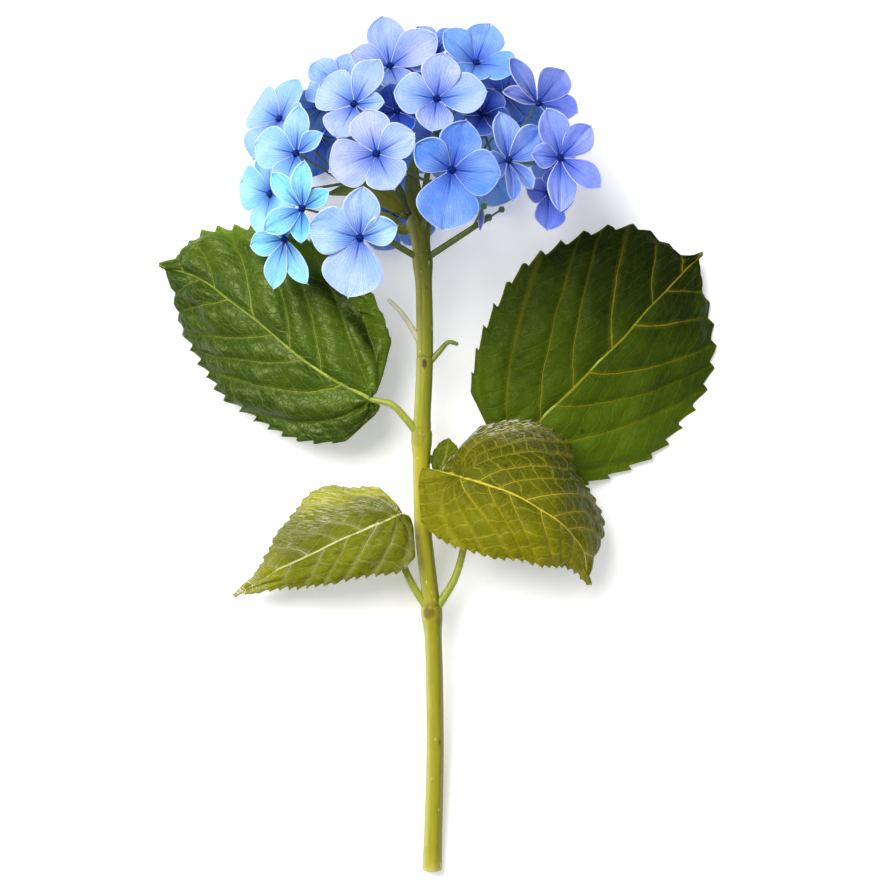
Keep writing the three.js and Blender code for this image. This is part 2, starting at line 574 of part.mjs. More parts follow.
function settle(florets) {
  const felt = florets.map(feelers);
  const homes = florets.map((floret) => floret.at.clone());
  const fixed = obstacles();
  for (let step = 0; step < SETTLING_STEPS; step++) {
    const sheets = florets.map((floret, i) => felt[i].map((p) => p.clone().add(floret.at)));
    const loose = 1 - step / (LOOSE * SETTLING_STEPS);
    if (step % 25 === 0 && loose > 0)
      florets.forEach((floret) => chooseStalk(floret, florets, sheets.flat(), PLAIN_BENDS));
    if (step === LAST_CHOICE * SETTLING_STEPS)
      florets.forEach((floret) => chooseStalk(floret, florets, sheets.flat(), ALL_BENDS));
    const stalks = florets.map((floret) => pedicelWay(floret).getPoints(9).slice(0, 9));
    const moves = florets.map((floret, i) => push(sheets[i], fixed, floret.at, STALK_ROOM));
    florets.forEach((floret, i) => {
      florets.forEach((other, j) => {
        if (i === j || floret.at.distanceTo(other.at) > 2 * SEPAL_LENGTH + 20) return;
        moves[i].add(push(sheets[i], stalks[j], floret.at, STALK_ROOM));
        if (i < j) {
          const apart = push(sheets[i], sheets[j], floret.at, SEPAL_ROOM);
          moves[i].add(apart);
          moves[j].sub(apart);
        }
      });
    });
    florets.forEach((floret, i) => {
      moves[i].addScaledVector(homes[i].clone().sub(floret.at), HOMING * Math.max(0, loose));
      floret.at.add(moves[i].clampLength(0, 1.5).multiply(floret.measured ? MEASURED_GIVES : OTHERS_GIVE));
      floret.at.sub(homes[i]).clampLength(0, MOST_DRIFT).add(homes[i]);
      const lowest = Math.min(...felt[i].map((p) => aboveTable(p.clone().add(floret.at))));
      if (lowest < TABLE_ROOM) floret.at.z += (TABLE_ROOM - lowest) / COS_LEAN;
    });
  }
}

const florets = [
  ...FRONT_FLORETS,
  ...Array.from({ length: RIM_FLORETS }, (_, k) => rimFloret(k)),
  ...Array.from({ length: BACK_FLORETS }, (_, k) => backFloret(k)),
].map(floretPlan);
settle(florets);

// ---------------------------------------------------------------- the plant
const plant = new THREE.Group();
plant.add(named("stem", stemSolid(0), STEM_GREEN));
for (const leaf of LEAVES)
  plant.add(named(leaf.name, leafSolid(leaf), leaf.name.startsWith("leaf_upper") ? LEAF_GREEN : YOUNG_GREEN));
for (const stub of STUBS) plant.add(named(stub.name, stubSolid(stub), STUB_TAN));
for (const ray of RAYS)
  plant.add(named(ray.name, raySolid(ray, florets.filter((floret) => floret.ray === ray)), RAY_GREEN));
for (const floret of florets) plant.add(named(floret.name, floretSolid(floret), SEPAL_BLUE));

plant.rotation.x = rad(LEAN);
const whole = new THREE.Group();
whole.add(plant);

// The row's origin: under the middle of the plant, on the table.
const bounds = new THREE.Box3().setFromObject(whole, true);
plant.position.set(
  -(bounds.min.x + bounds.max.x) / 2,
  -(bounds.min.y + bounds.max.y) / 2,
  -bounds.min.z,
);

export default whole;
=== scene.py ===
"""A cut blue hydrangea that lies on a table, on its cut end, one leaf and the back of its flower head.

Everything is worked out in the plant's own frame, in millimetres: +Y up the stem, +X to the right of
somebody facing the flower, +Z out of the flower's face. place() turns that into the part's frame in metres.
"""

import math

import bpy
import numpy as np
from mathutils import Matrix, Vector, noise


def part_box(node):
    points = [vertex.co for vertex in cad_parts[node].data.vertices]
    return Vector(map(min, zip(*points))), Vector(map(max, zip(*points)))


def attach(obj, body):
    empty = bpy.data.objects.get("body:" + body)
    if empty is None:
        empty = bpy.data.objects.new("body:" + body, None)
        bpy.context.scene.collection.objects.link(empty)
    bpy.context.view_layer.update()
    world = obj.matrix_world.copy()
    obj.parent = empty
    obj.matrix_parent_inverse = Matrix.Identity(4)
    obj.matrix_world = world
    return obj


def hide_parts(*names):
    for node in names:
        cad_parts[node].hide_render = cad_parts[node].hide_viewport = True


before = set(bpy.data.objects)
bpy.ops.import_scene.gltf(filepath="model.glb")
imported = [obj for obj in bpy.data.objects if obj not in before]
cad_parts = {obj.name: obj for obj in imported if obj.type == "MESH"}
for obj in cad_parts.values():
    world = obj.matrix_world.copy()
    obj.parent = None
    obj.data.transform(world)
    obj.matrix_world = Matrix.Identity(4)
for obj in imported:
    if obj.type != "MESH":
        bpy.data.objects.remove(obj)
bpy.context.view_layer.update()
NODES = sorted(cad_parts)
MM = 0.001

# ---------------------------------- the plant's driving sizes (as in the CAD model)
LEAN = math.radians(7.6)
STEM_RADIUS, CUT_END_RADIUS, NODE_SWELL, KNOB_RADIUS = 3.8, 4.3, 0.9, 5.8
LOWER_LEAVES, UPPER_LEAVES, SCARS, FIRST_RAYS, KNOB = 115, 194, 232, 274, 291
SEPAL_LENGTH = 20
SEPAL_WIDTH, SEPAL_RISE, SEPAL_BOW = 0.96, 0.3, 0.22  # shares of the length
EYE_RADIUS = 2.1
PETIOLE_RADIUS, STUB_RADIUS = 1.9, 1.6

# and of the visible surfaces alone, in millimetres
BLADE_SHEET, SEPAL_SHEET, BRACT_SHEET = 0.45, 0.34, 0.35
ON_TABLE = 0.25  # no vertex is built lower than this, and half a sheet's thickness nearly fills the gap
BRANCH_VOXEL = 0.33


def unit(v):
    v = np.asarray(v, float)
    return v / np.maximum(np.linalg.norm(v, axis=-1, keepdims=True), 1e-12)


def smooth(x, low, high):
    """0 below low, 1 above high, and an S-shaped step between."""
    x = np.clip((np.asarray(x, float) - low) / (high - low), 0, 1)
    return x * x * (3 - 2 * x)


class Curve:
    """A smooth curve through points (centripetal Catmull-Rom), read by share of its length."""

    def __init__(self, points, samples=80):
        p = np.array(points, float)
        p = np.vstack([2 * p[0] - p[1], p, 2 * p[-1] - p[-2]])
        rows = []
        for i in range(1, len(p) - 2):
            a, b, c, d = p[i - 1], p[i], p[i + 1], p[i + 2]
            d0, d1, d2 = (np.linalg.norm(v) ** 0.5 for v in (b - a, c - b, d - c))
            t1 = ((b - a) / d0 - (c - a) / (d0 + d1) + (c - b) / d1) * d1
            t2 = ((c - b) / d1 - (d - b) / (d1 + d2) + (d - c) / d2) * d1
            u = np.linspace(0, 1, samples, endpoint=False)[:, None]
            rows.append(b + t1 * u + (3 * (c - b) - 2 * t1 - t2) * u**2 + (2 * (b - c) + t1 + t2) * u**3)
        self.points = np.vstack(rows + [p[-2][None]])
        steps = np.linalg.norm(np.diff(self.points, axis=0), axis=1)
        self.length = steps.sum()
        self.shares = np.concatenate([[0], np.cumsum(steps)]) / self.length

    def at(self, s):
        s = np.asarray(s, float)
        return np.stack([np.interp(s, self.shares, self.points[:, k]) for k in range(3)], -1)

    def tangent(self, s):
        s = np.asarray(s, float)
        return unit(self.at(np.minimum(1, s + 0.01)) - self.at(np.maximum(0, s - 0.01)))


def variation(index, kind):
    """A repeatable number from -1 to 1."""
    wave = math.sin(index * 12.9898 + kind * 78.233) * 43758.5453
    return 2 * (wave - math.floor(wave)) - 1


def leaned(points):
    """Points of the plant's frame, leant back with the plant, still in millimetres."""
    p = np.asarray(points, float)
    c, s = math.cos(LEAN), math.sin(LEAN)
    return np.stack([p[..., 0], p[..., 1] * c - p[..., 2] * s, p[..., 1] * s + p[..., 2] * c], -1)


# ---------------------------------- leaves: the same control points as the CAD model
LEAVES = {
    "leaf_upper_left": dict(
        root=(-4.6, UPPER_LEAVES, 0),
        petiole=[(-12, 203.5, 3), (-18, 209.5, 4)],
        midrib=[(-28, 212, 3), (-53, 226, 0), (-84, 251, -9), (-108, 268, -20), (-126, 274, -30)],
        face=[(0.05, -0.1, 1), (-0.2, -0.2, 1)],
        left=dict(width=37, fullest=0.4, blunt=2.3, lobe=0.05, droop=6),
        right=dict(width=47, fullest=0.43, blunt=1.5, lobe=0, droop=13),
        tip=(0.7, 0.87),
    ),
    "leaf_upper_right": dict(
        root=(-4.5, UPPER_LEAVES - 8, -1),
        petiole=[(8, 183, -9), (22, 184, -13)],
        midrib=[(37, 191, -14), (59, 212, -14), (86, 239, -18), (109, 264, -25), (125, 280, -32)],
        face=[(0.1, -0.1, 1), (0.3, -0.1, 1)],
        left=dict(width=54, fullest=0.47, blunt=2.1, lobe=0.04, droop=11),
        right=dict(width=50, fullest=0.45, blunt=2.1, lobe=0.04, droop=3),
        tip=(0.85, 0.88),
    ),
    "leaf_lower_left": dict(
        root=(0, LOWER_LEAVES, 0),
        petiole=[(-9, 129, 2), (-15, 144, 3)],
        midrib=[(-16, 160, 10), (-37, 151, 11), (-58, 141, 8), (-75, 132, 1), (-90, 123, -8)],
        face=[(-0.1, 0.5, 0.9), (-0.3, 0.4, 0.9)],
        left=dict(width=22, fullest=0.14, blunt=0.85, lobe=0.07, droop=9),
        right=dict(width=28, fullest=0.33, blunt=1.35, lobe=0.03, droop=8),
        tip=(0.6, 0.6),
    ),
    "leaf_lower_right": dict(
        root=(0, LOWER_LEAVES, 0),
        petiole=[(10, 131, 1), (15, 150, 3), (15, 168, 10)],
        midrib=[(12.5, 177.5, 19), (33, 171, 25), (52, 160.5, 24), (66, 147, 14), (70.5, 128.5, 3)],
        face=[(-0.1, 0.3, 1), (0.5, 0.2, 0.8)],
        left=dict(width=42, fullest=0.3, blunt=1.6, lobe=0.14, droop=20),
        right=dict(width=30, fullest=0.2, blunt=1.3, lobe=0.17, droop=8),
        tip=(0.45, 0.8),
        spread=6,
    ),
    "leaf_young": dict(
        root=(-4.5, UPPER_LEAVES - 19, 0),
        petiole=[(1, 178, 0.5)],
        midrib=[(3.5, 180, 0.5), (6, 186, 0.5), (7.5, 194.5, -0.5)],
        face=[(0, 0.1, 1), (0, 0.4, 1)],
        left=dict(width=6, fullest=0.45, blunt=1.8, lobe=0.1, droop=1),
        right=dict(width=7, fullest=0.4, blunt=1.6, lobe=0.1, droop=1),
    ),
}


def half_outline(s, half):
    before = (half["fullest"] - s) / (half["fullest"] + 0.04)
    after = np.clip((s - half["fullest"]) / (1 - half["fullest"]), 0, 1)
    rounded, pointed = np.sqrt(np.maximum(0, 1 - before**2)), (1 - after ** half["blunt"]) ** 0.75
    share = np.where(s < half["fullest"], rounded, pointed)
    return np.maximum(0.012, share)


class Blade:
    """A leaf's blade: where its middle surface is, and the directions there."""

    def __init__(self, leaf):
        self.leaf = leaf
        self.midrib = Curve(leaf["midrib"])
        self.length = np.linalg.norm(np.subtract(leaf["midrib"][-1], leaf["midrib"][0]))

    def of_half(self, key, t):
        return np.where(t < 0, self.leaf["left"][key], self.leaf["right"][key])

    def reach(self, s, t):
        halves = (self.leaf["left"], self.leaf["right"])
        left, right = (half_outline(s, half) * half["width"] for half in halves)
        return np.where(t < 0, left, right)

    def at(self, s, t, wider=0.0):
        """Points, normals and the midrib's directions. wider adds millimetres to the reach at the margin."""
        tangent = self.midrib.tangent(s)
        near, far = (np.array(v, float) for v in self.leaf["face"])
        face = near + (far - near) * s[..., None]
        across = unit(np.cross(tangent, face))
        normal = unit(np.cross(across, tangent))
        reach = self.reach(s, t)
        share = reach / self.of_half("width", t)
        back = self.of_half("lobe", t) * self.length + np.where(t > 0, self.leaf.get("spread", 0), 0)
        back = back * np.maximum(0, 1 - s / 0.35) ** 1.5 * np.sqrt(np.abs(t))
        points = (
            self.midrib.at(s)
            + across * (t * (reach + wider))[..., None]
            - normal * (self.of_half("droop", t) * t * t * share)[..., None]
            - tangent * back[..., None]
        )
        return points, tangent, across


def cad_box(node):
    return np.array([list(c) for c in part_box(node)]) / MM


# How far the CAD model moved the leant plant to stand its box on the origin.
_shifts = []
for _name in ("leaf_upper_left", "leaf_upper_right"):
    _s, _t = np.meshgrid(np.linspace(0, 1, 11), np.linspace(-1, 1, 7), indexing="ij")
    _points = leaned(Blade(LEAVES[_name]).at(_s, _t)[0]).reshape(-1, 3)
    _box = np.array([_points.min(0), _points.max(0)])
    _far = 0 if _name.endswith("left") else 1
    _cad = cad_box(_name)
    _shifts.append([_cad[_far][0] - _box[_far][0], _cad[1][1] - _box[1][1], _cad[0][2] - _box[0][2]])
SHIFT = np.mean(_shifts, 0)


def place(points):
    """Points of the plant's frame in the row's frame, in metres."""
    return (leaned(points) + SHIFT) * MM


# ---------------------------------- making meshes
def quads(rows, columns, start=0, wrap=False):
    """Faces of a grid of rows x columns vertices; wrap joins the last column to the first."""
    r, c = np.meshgrid(np.arange(rows - 1), np.arange(columns if wrap else columns - 1), indexing="ij")
    n = (c + 1) % columns
    row, above = r * columns, (r + 1) * columns
    return (np.stack([row + c, row + n, above + n, above + c], -1) + start).reshape(-1, 4)


class Build:
    """Gathers vertices (in the plant's frame), faces, per-vertex values and materials for one object."""

    def __init__(self):
        self.points, self.faces, self.values, self.kinds, self.count = [], [], {}, [], 0

    def add(self, points, faces, kind=0, **values):
        points = np.asarray(points, float).reshape(-1, 3)
        self.points.append(points)
        for face in faces:
            self.faces.append([int(i) + self.count for i in face])
            self.kinds.append(kind)
        for key in set(values) | set(self.values):
            if key not in self.values:
                shape = np.asarray(values[key]).reshape(len(points), -1).shape[1]
                self.values[key] = [np.zeros((self.count, shape))]
            width = self.values[key][0].shape[1]
            value = values.get(key)
            shape = (len(points), width)
            rows = np.zeros(shape) if value is None else np.asarray(value, float).reshape(shape)
            self.values[key].append(rows)
        self.count += len(points)

    def tube(self, curve, radius, sides=12, steps=24, kind=0):
        """A round tube. radius is a function of the share of the curve's length."""
        s = np.linspace(0, 1, steps + 1)
        centre, tangent = curve.at(s), curve.tangent(s)
        normal = np.cross(tangent[0], [0.3, 0.2, 1.0])
        rings = []
        for c, t, share in zip(centre, tangent, s):
            normal = unit(normal - t * np.dot(normal, t))
            other = np.cross(t, normal)
            a = np.linspace(0, 2 * math.pi, sides, endpoint=False)[:, None]
            rings.append(c + radius(share) * (np.cos(a) * normal + np.sin(a) * other))
        points = np.vstack([*rings, centre[0], centre[-1]])
        faces = [list(f) for f in quads(steps + 1, sides, wrap=True)]
        last = steps * sides
        faces += [[(k + 1) % sides, k, len(points) - 2] for k in range(sides)]
        faces += [[last + k, last + (k + 1) % sides, len(points) - 1] for k in range(sides)]
        self.add(points, faces, kind, along=np.append(np.repeat(s, sides), [0, 1]))

    def object(self, name, materials, node=None):
        points = place(np.vstack(self.points))
        points[:, 2] = np.maximum(points[:, 2], ON_TABLE * MM)
        mesh = bpy.data.meshes.new(name)
        mesh.from_pydata(points.tolist(), [], self.faces)
        mesh.polygons.foreach_set("use_smooth", [True] * len(mesh.polygons))
        mesh.polygons.foreach_set("material_index", self.kinds)
        for key, rows in self.values.items():
            rows = np.vstack(rows)
            if rows.shape[1] == 1:
                attribute = mesh.attributes.new(key, "FLOAT", "POINT")
                attribute.data.foreach_set("value", rows.ravel().astype(np.float32))
            else:
                rgba = np.hstack([rows, np.ones((len(rows), 1))]).astype(np.float32)
                mesh.attributes.new(key, "FLOAT_COLOR", "POINT").data.foreach_set("color", rgba.ravel())
        for material in materials:
            mesh.materials.append(material)
        mesh.update()
        made = bpy.data.objects.new(name, mesh)
        bpy.context.scene.collection.objects.link(made)
        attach(made, "root")
        if node:
            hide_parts(node)
        return made


def thicken(made, millimetres):
    """Gives an open sheet its thickness, half of it on each side."""
    solidify = made.modifiers.new("thickness", "SOLIDIFY")
    solidify.thickness = millimetres * MM
    solidify.offset = 0
    return made


# ---------------------------------- node materials
class Shade:
    """A material with helpers that add nodes."""

    def __init__(
        self, name, roughness=0.5, subsurface=0.0, radius=(0.5, 0.5, 0.5), sheen=0.0, coat=0.0, specular=0.5,
        glint=(1, 1, 1),
    ):
        self.material = bpy.data.materials.new(name)
        self.material.use_nodes = True
        self.tree = self.material.node_tree
        self.shader = self.tree.nodes["Principled BSDF"]
        self.set(self.shader, "Roughness", roughness)
        self.set(self.shader, "Subsurface Weight", subsurface)
        self.set(self.shader, "Subsurface Radius", radius)
        self.set(self.shader, "Subsurface Scale", 1.0 * MM)
        self.set(self.shader, "Sheen Weight", sheen)
        self.set(self.shader, "Coat Weight", coat)
        self.set(self.shader, "Specular IOR Level", specular)
        self.set(self.shader, "Specular Tint", glint)

    def set(self, node, name, value):
        socket = node.inputs[name] if isinstance(name, (str, int)) else name
        if isinstance(value, bpy.types.NodeSocket):
            self.tree.links.new(value, socket)
        elif isinstance(value, (tuple, list)) and socket.type == "RGBA" and len(value) == 3:
            socket.default_value = (*value, 1)
        else:
            socket.default_value = value

    def math(self, operation, a, b=0.0, c=0.0, clamp=False):
        node = self.tree.nodes.new("ShaderNodeMath")
        node.operation, node.use_clamp = operation, clamp
        for k, value in enumerate((a, b, c)):
            self.set(node, k, value)
        return node.outputs[0]

    def value(self, attribute):
        node = self.tree.nodes.new("ShaderNodeAttribute")
        node.attribute_name = attribute
        return node.outputs["Fac"]

    def colour(self, attribute):
        node = self.tree.nodes.new("ShaderNodeAttribute")
        node.attribute_name = attribute
        return node.outputs["Color"]

    def where(self):
        return self.tree.nodes.new("ShaderNodeTexCoord").outputs["Object"]

    def scaled(self, vector, scale):
        node = self.tree.nodes.new("ShaderNodeVectorMath")
        node.operation = "MULTIPLY"
        self.set(node, 0, vector)
        self.set(node, 1, scale)
        return node.outputs[0]

    def joined(self, x, y, z=0.0):
        node = self.tree.nodes.new("ShaderNodeCombineXYZ")
        for k, value in enumerate((x, y, z)):
            self.set(node, k, value)
        return node.outputs[0]

    def ramp(self, value, low, high, to_low=0.0, to_high=1.0, smoothly=True):
        node = self.tree.nodes.new("ShaderNodeMapRange")
        node.interpolation_type = "SMOOTHSTEP" if smoothly else "LINEAR"
        inputs = {"Value": value, "From Min": low, "From Max": high, "To Min": to_low, "To Max": to_high}
        for name, number in inputs.items():
            self.set(node, name, number)
        return node.outputs["Result"]

    def mix(self, share, a, b, blend="MIX"):
        node = self.tree.nodes.new("ShaderNodeMix")
        node.data_type, node.blend_type = "RGBA", blend
        self.set(node, 0, share)
        self.set(node, 6, a)
        self.set(node, 7, b)
        return node.outputs[2]

    def noise(self, vector, scale, detail=3.0, rough=0.5):
        node = self.tree.nodes.new("ShaderNodeTexNoise")
        for name, value in (("Vector", vector), ("Scale", scale), ("Detail", detail), ("Roughness", rough)):
            self.set(node, name, value)
        return node.outputs["Fac"]

    def cells(self, vector, scale, feature="DISTANCE_TO_EDGE"):
        node = self.tree.nodes.new("ShaderNodeTexVoronoi")
        node.feature = feature
        self.set(node, "Vector", vector)
        self.set(node, "Scale", scale)
        return node.outputs["Distance"]

    def bump(self, height, millimetres, strength=1.0):
        node = self.tree.nodes.new("ShaderNodeBump")
        self.set(node, "Height", height)
        self.set(node, "Distance", millimetres * MM)
        self.set(node, "Strength", strength)
        self.set(self.shader, "Normal", node.outputs[0])

    def base(self, colour):
        self.set(self.shader, "Base Color", colour)

    def rough(self, value):
        self.set(self.shader, "Roughness", value)


def srgb(text):
    """A colour such as "6f9fe8" as linear red, green and blue."""
    parts = [int(text[k : k + 2], 16) / 255 for k in (0, 2, 4)]
    return tuple(p / 12.92 if p <= 0.04045 else ((p + 0.055) / 1.055) ** 2.4 for p in parts)


def sepal_material():
    """Blue petals: fanned veins, a deep streaked claw and a thin pale rim, on each vertex's own tint."""
    m = Shade("sepal", 0.62, subsurface=0.2, radius=(0.5, 0.7, 1.2), sheen=0.05, specular=0.2)
    tint = m.colour("tint")
    spread, distance, rim = m.value("fan"), m.value("from_eye"), m.value("rim")
    wander = m.math("SUBTRACT", m.noise(m.where(), 170, 2), 0.5)
    line = m.math("ADD", spread, m.math("MULTIPLY", wander, 0.1))
    middle = m.ramp(m.math("MULTIPLY", m.math("ABSOLUTE", line), distance), 0.1, 0.75, 0.85, 0)
    main = m.math("PINGPONG", m.math("ADD", m.math("MULTIPLY", line, 3.6), 0.5), 0.5)
    main = m.math("MULTIPLY", m.ramp(main, 0.0, 0.13, 1, 0), m.ramp(distance, 5, 19, 0.75, 0.25))
    fork = m.math("ADD", m.math("MULTIPLY", line, 9.0), m.math("MULTIPLY", wander, 0.5))
    fine = m.ramp(m.math("PINGPONG", fork, 0.5), 0.0, 0.2, 1, 0)
    fine = m.math("MULTIPLY", fine, m.ramp(distance, 4, 9, 0.0, 0.42))
    keel = m.math("MULTIPLY", middle, m.ramp(distance, 8, 20, 1.0, 0.2))
    veins = m.math("MAXIMUM", m.math("MAXIMUM", main, fine), keel)
    net = m.ramp(m.cells(m.where(), 700), 0.0, 0.09, 0.4, 0)
    cloud = m.noise(m.where(), 75, 4, 0.6)
    deeper = m.mix(1.0, tint, (0.72, 0.84, 0.96), "MULTIPLY")
    pale = m.mix(m.ramp(cloud, 0.3, 0.7), deeper, m.mix(0.12, tint, (0.9, 0.93, 1.0)))
    deep = m.mix(1.0, tint, (0.2, 0.38, 0.76), "MULTIPLY")
    body = m.mix(m.math("MULTIPLY", veins, 0.75), pale, deep)
    body = m.mix(m.math("MULTIPLY", net, 0.5), body, deep)
    streak = m.math("ADD", distance, m.math("MULTIPLY", m.math("SUBTRACT", 0.5, veins), 6.5))
    claw = m.mix(1.0, tint, (0.02, 0.1, 0.42), "MULTIPLY")
    body = m.mix(m.ramp(distance, 2.0, 15.0, 0.5, 0.0), body, deep)
    body = m.mix(m.ramp(streak, 2.5, 12.5, 1.0, 0.0), body, claw)
    body = m.mix(m.ramp(rim, 0.1, 0.45, 0.7, 0.0), body, m.mix(0.6, tint, (0.88, 0.93, 1.0)))
    m.base(body)
    m.rough(m.ramp(cloud, 0.2, 0.8, 0.55, 0.75))
    grain = m.math("MULTIPLY", m.noise(m.where(), 1400, 2), 0.3)
    m.bump(m.math("SUBTRACT", grain, m.math("ADD", veins, net)), 0.22, 0.8)
    return m.material


def eye_material():
    m = Shade("floret_eye", 0.4, coat=0.06, specular=0.15, glint=(0.35, 0.6, 1))
    speck = m.noise(m.where(), 1500, 2)
    body = m.mix(m.ramp(speck, 0.35, 0.7), srgb("03103c"), srgb("0a2f86"))
    # painted shade in the creases between the bud's lobes
    m.base(m.mix(m.value("crease"), body, srgb("050c30")))
    m.rough(m.ramp(speck, 0.3, 0.7, 0.28, 0.5))
    m.bump(speck, 0.1)
    return m.material


def leaf_material(name, dark, light, vein, gloss, net_seen, veins_seen, gleam, fine):
    """A blade: side veins, rungs between them, a fine net, and mottling. The per-vertex lightness runs from
    dark to light, partly the leaf's own colour and partly painted light and shade.
    """
    m = Shade(name, gloss, subsurface=0.06, radius=(0.5, 0.9, 0.2), specular=gleam, glint=(0.8, 0.9, 0.4))
    keys = ("tone", "phase", "middle", "margin", "spacing")
    tone, phase, middle, near_edge, spacing = (m.value(key) for key in keys)
    away = m.math("ABSOLUTE", middle)
    wander = m.math("SUBTRACT", m.noise(m.where(), 60, 3), 0.5)
    bent = m.math("ADD", phase, m.math("MULTIPLY", wander, 0.22))
    line = m.math("MULTIPLY", m.math("PINGPONG", bent, 0.5), spacing)
    width = m.ramp(near_edge, 0.0, 0.8, 0.4 * fine, fine)
    side = m.ramp(m.math("DIVIDE", line, width), 0.25, 1.0, 1, 0)
    side = m.math("MULTIPLY", side, m.ramp(near_edge, 0.03, 0.75, 0.1, 1.0))
    centre = m.ramp(m.math("DIVIDE", away, 0.3 + 0.7 * fine), 0.4, 1.25, 1, 0)
    centre = m.math("MULTIPLY", centre, m.ramp(m.value("along"), 0.2, 1.0, 0.9, 0.6))
    strip = m.math("MULTIPLY", m.math("FLOOR", bent), 0.618)
    slant = m.math("ADD", m.math("MULTIPLY", m.math("FRACT", bent), 0.8), strip)
    waver = m.math("MULTIPLY", m.noise(m.where(), 130, 2), 1.1)
    rung = m.math("ADD", m.math("ADD", m.math("DIVIDE", away, 5.5), slant), waver)
    rungs = m.ramp(m.math("MULTIPLY", m.math("PINGPONG", rung, 0.5), 5.5), 0.1, 0.5, 0.8, 0)
    cell = m.ramp(m.cells(m.where(), 330), 0.0, 0.07, 0.5, 0)
    net = m.math("MAXIMUM", rungs, cell)
    mottle = m.noise(m.where(), 38, 5, 0.6)
    grain = m.noise(m.where(), 420, 3, 0.6)
    shade = m.math("ADD", tone, m.math("MULTIPLY", m.math("SUBTRACT", mottle, 0.5), 0.7))
    shade = m.math("ADD", shade, m.math("MULTIPLY", m.math("SUBTRACT", grain, 0.5), 0.25))
    body = m.mix(m.ramp(shade, 0.0, 1.0), dark, light)
    body = m.mix(m.math("MULTIPLY", m.ramp(line, 0.8, 3.0, 1, 0), 0.22), body, m.mix(0.4, body, vein))
    body = m.mix(m.math("MULTIPLY", net, net_seen), body, m.mix(0.5, body, vein))
    body = m.mix(m.math("MULTIPLY", side, veins_seen), body, vein)
    body = m.mix(centre, body, vein)
    body = m.mix(m.ramp(near_edge, 0.0, 0.022, 0.35, 0.0), body, vein)
    speck = m.ramp(m.cells(m.where(), 60, "F1"), 0.05, 0.085, 1, 0)
    speck = m.math("MULTIPLY", speck, m.ramp(m.noise(m.where(), 25, 1), 0.53, 0.56, 0, 0.75))
    body = m.mix(speck, body, srgb("2a2a0a"))
    streaks = m.joined(m.math("MULTIPLY", phase, 9.0), m.math("MULTIPLY", away, 0.09), 0.0)
    # pale hairs: their own pale colour and a painted sheen where they catch the light
    hairs_and_sheen = m.math("MULTIPLY", m.value("down"), m.ramp(m.noise(streaks, 2.6, 2, 0.6), 0.48, 0.62, 0.0, 1.0))
    body = m.mix(hairs_and_sheen, body, srgb("dde0c4"))
    m.base(body)
    m.rough(m.ramp(m.math("ADD", grain, m.math("MULTIPLY", side, 0.3)), 0.3, 1.0, gloss - 0.08, gloss + 0.22))
    grooves = m.math("ADD", side, m.math("MULTIPLY", net, 0.6))
    m.bump(m.math("SUBTRACT", m.math("MULTIPLY", grain, 0.5), grooves), 0.4, 0.9)
    return m.material


def stalk_material(name, low, high, blush, speckle=0.5, by="along", gloss=0.45):
    """Green bark of a stem or stalk: streaks along it, pale lenticels, mottling."""
    m = Shade(name, gloss, subsurface=0.1, radius=(0.4, 0.7, 0.2))
    share = m.value(by)
    streaks = m.noise(m.scaled(m.where(), (1.0, 0.08, 1.0)), 900, 3)
    mottle = m.noise(m.where(), 120, 4)
    body = m.mix(share, low, high)
    body = m.mix(m.ramp(mottle, 0.45, 0.8, 0, 0.5), body, blush)
    body = m.mix(m.ramp(streaks, 0.35, 0.75, 0, 0.45), body, m.mix(1.0, body, (0.6, 0.62, 0.5), "MULTIPLY"))
    dots = m.ramp(m.cells(m.scaled(m.where(), (1.0, 0.45, 1.0)), 420, "F1"), 0.12, 0.2, 1, 0)
    dots = m.math("MULTIPLY", dots, m.ramp(m.noise(m.where(), 210, 1), 0.5, 0.6, 0, speckle))
    m.base(m.mix(dots, body, srgb("d9d59a")))
    m.rough(m.ramp(streaks, 0.2, 0.8, gloss - 0.1, gloss + 0.15))
    m.bump(m.math("ADD", streaks, dots), 0.12, 0.6)
    return m.material


# ---------------------------------- the stem
STEM_WAY = [
    (0, 0, 0),
    (1.4, LOWER_LEAVES * 0.5, 0.4),
    (0, LOWER_LEAVES, 0),
    (-4, (LOWER_LEAVES + UPPER_LEAVES) / 2, -0.5),
    (-4.6, UPPER_LEAVES, 0),
    (-3.2, SCARS, 0.3),
    (-4.2, FIRST_RAYS, 0),
    (-6, KNOB, 0),
]
STEM = Curve(STEM_WAY)


def stem_at(height):
    return STEM.at(np.interp(height, STEM.points[:, 1], STEM.shares))


def stem_radius(height):
    joints = (LOWER_LEAVES, UPPER_LEAVES, FIRST_RAYS)
    swell = max(NODE_SWELL * math.exp(-(((height - joint) / 6) ** 2)) for joint in joints)
    return STEM_RADIUS + (CUT_END_RADIUS - STEM_RADIUS) * math.exp(-height / 25) + swell


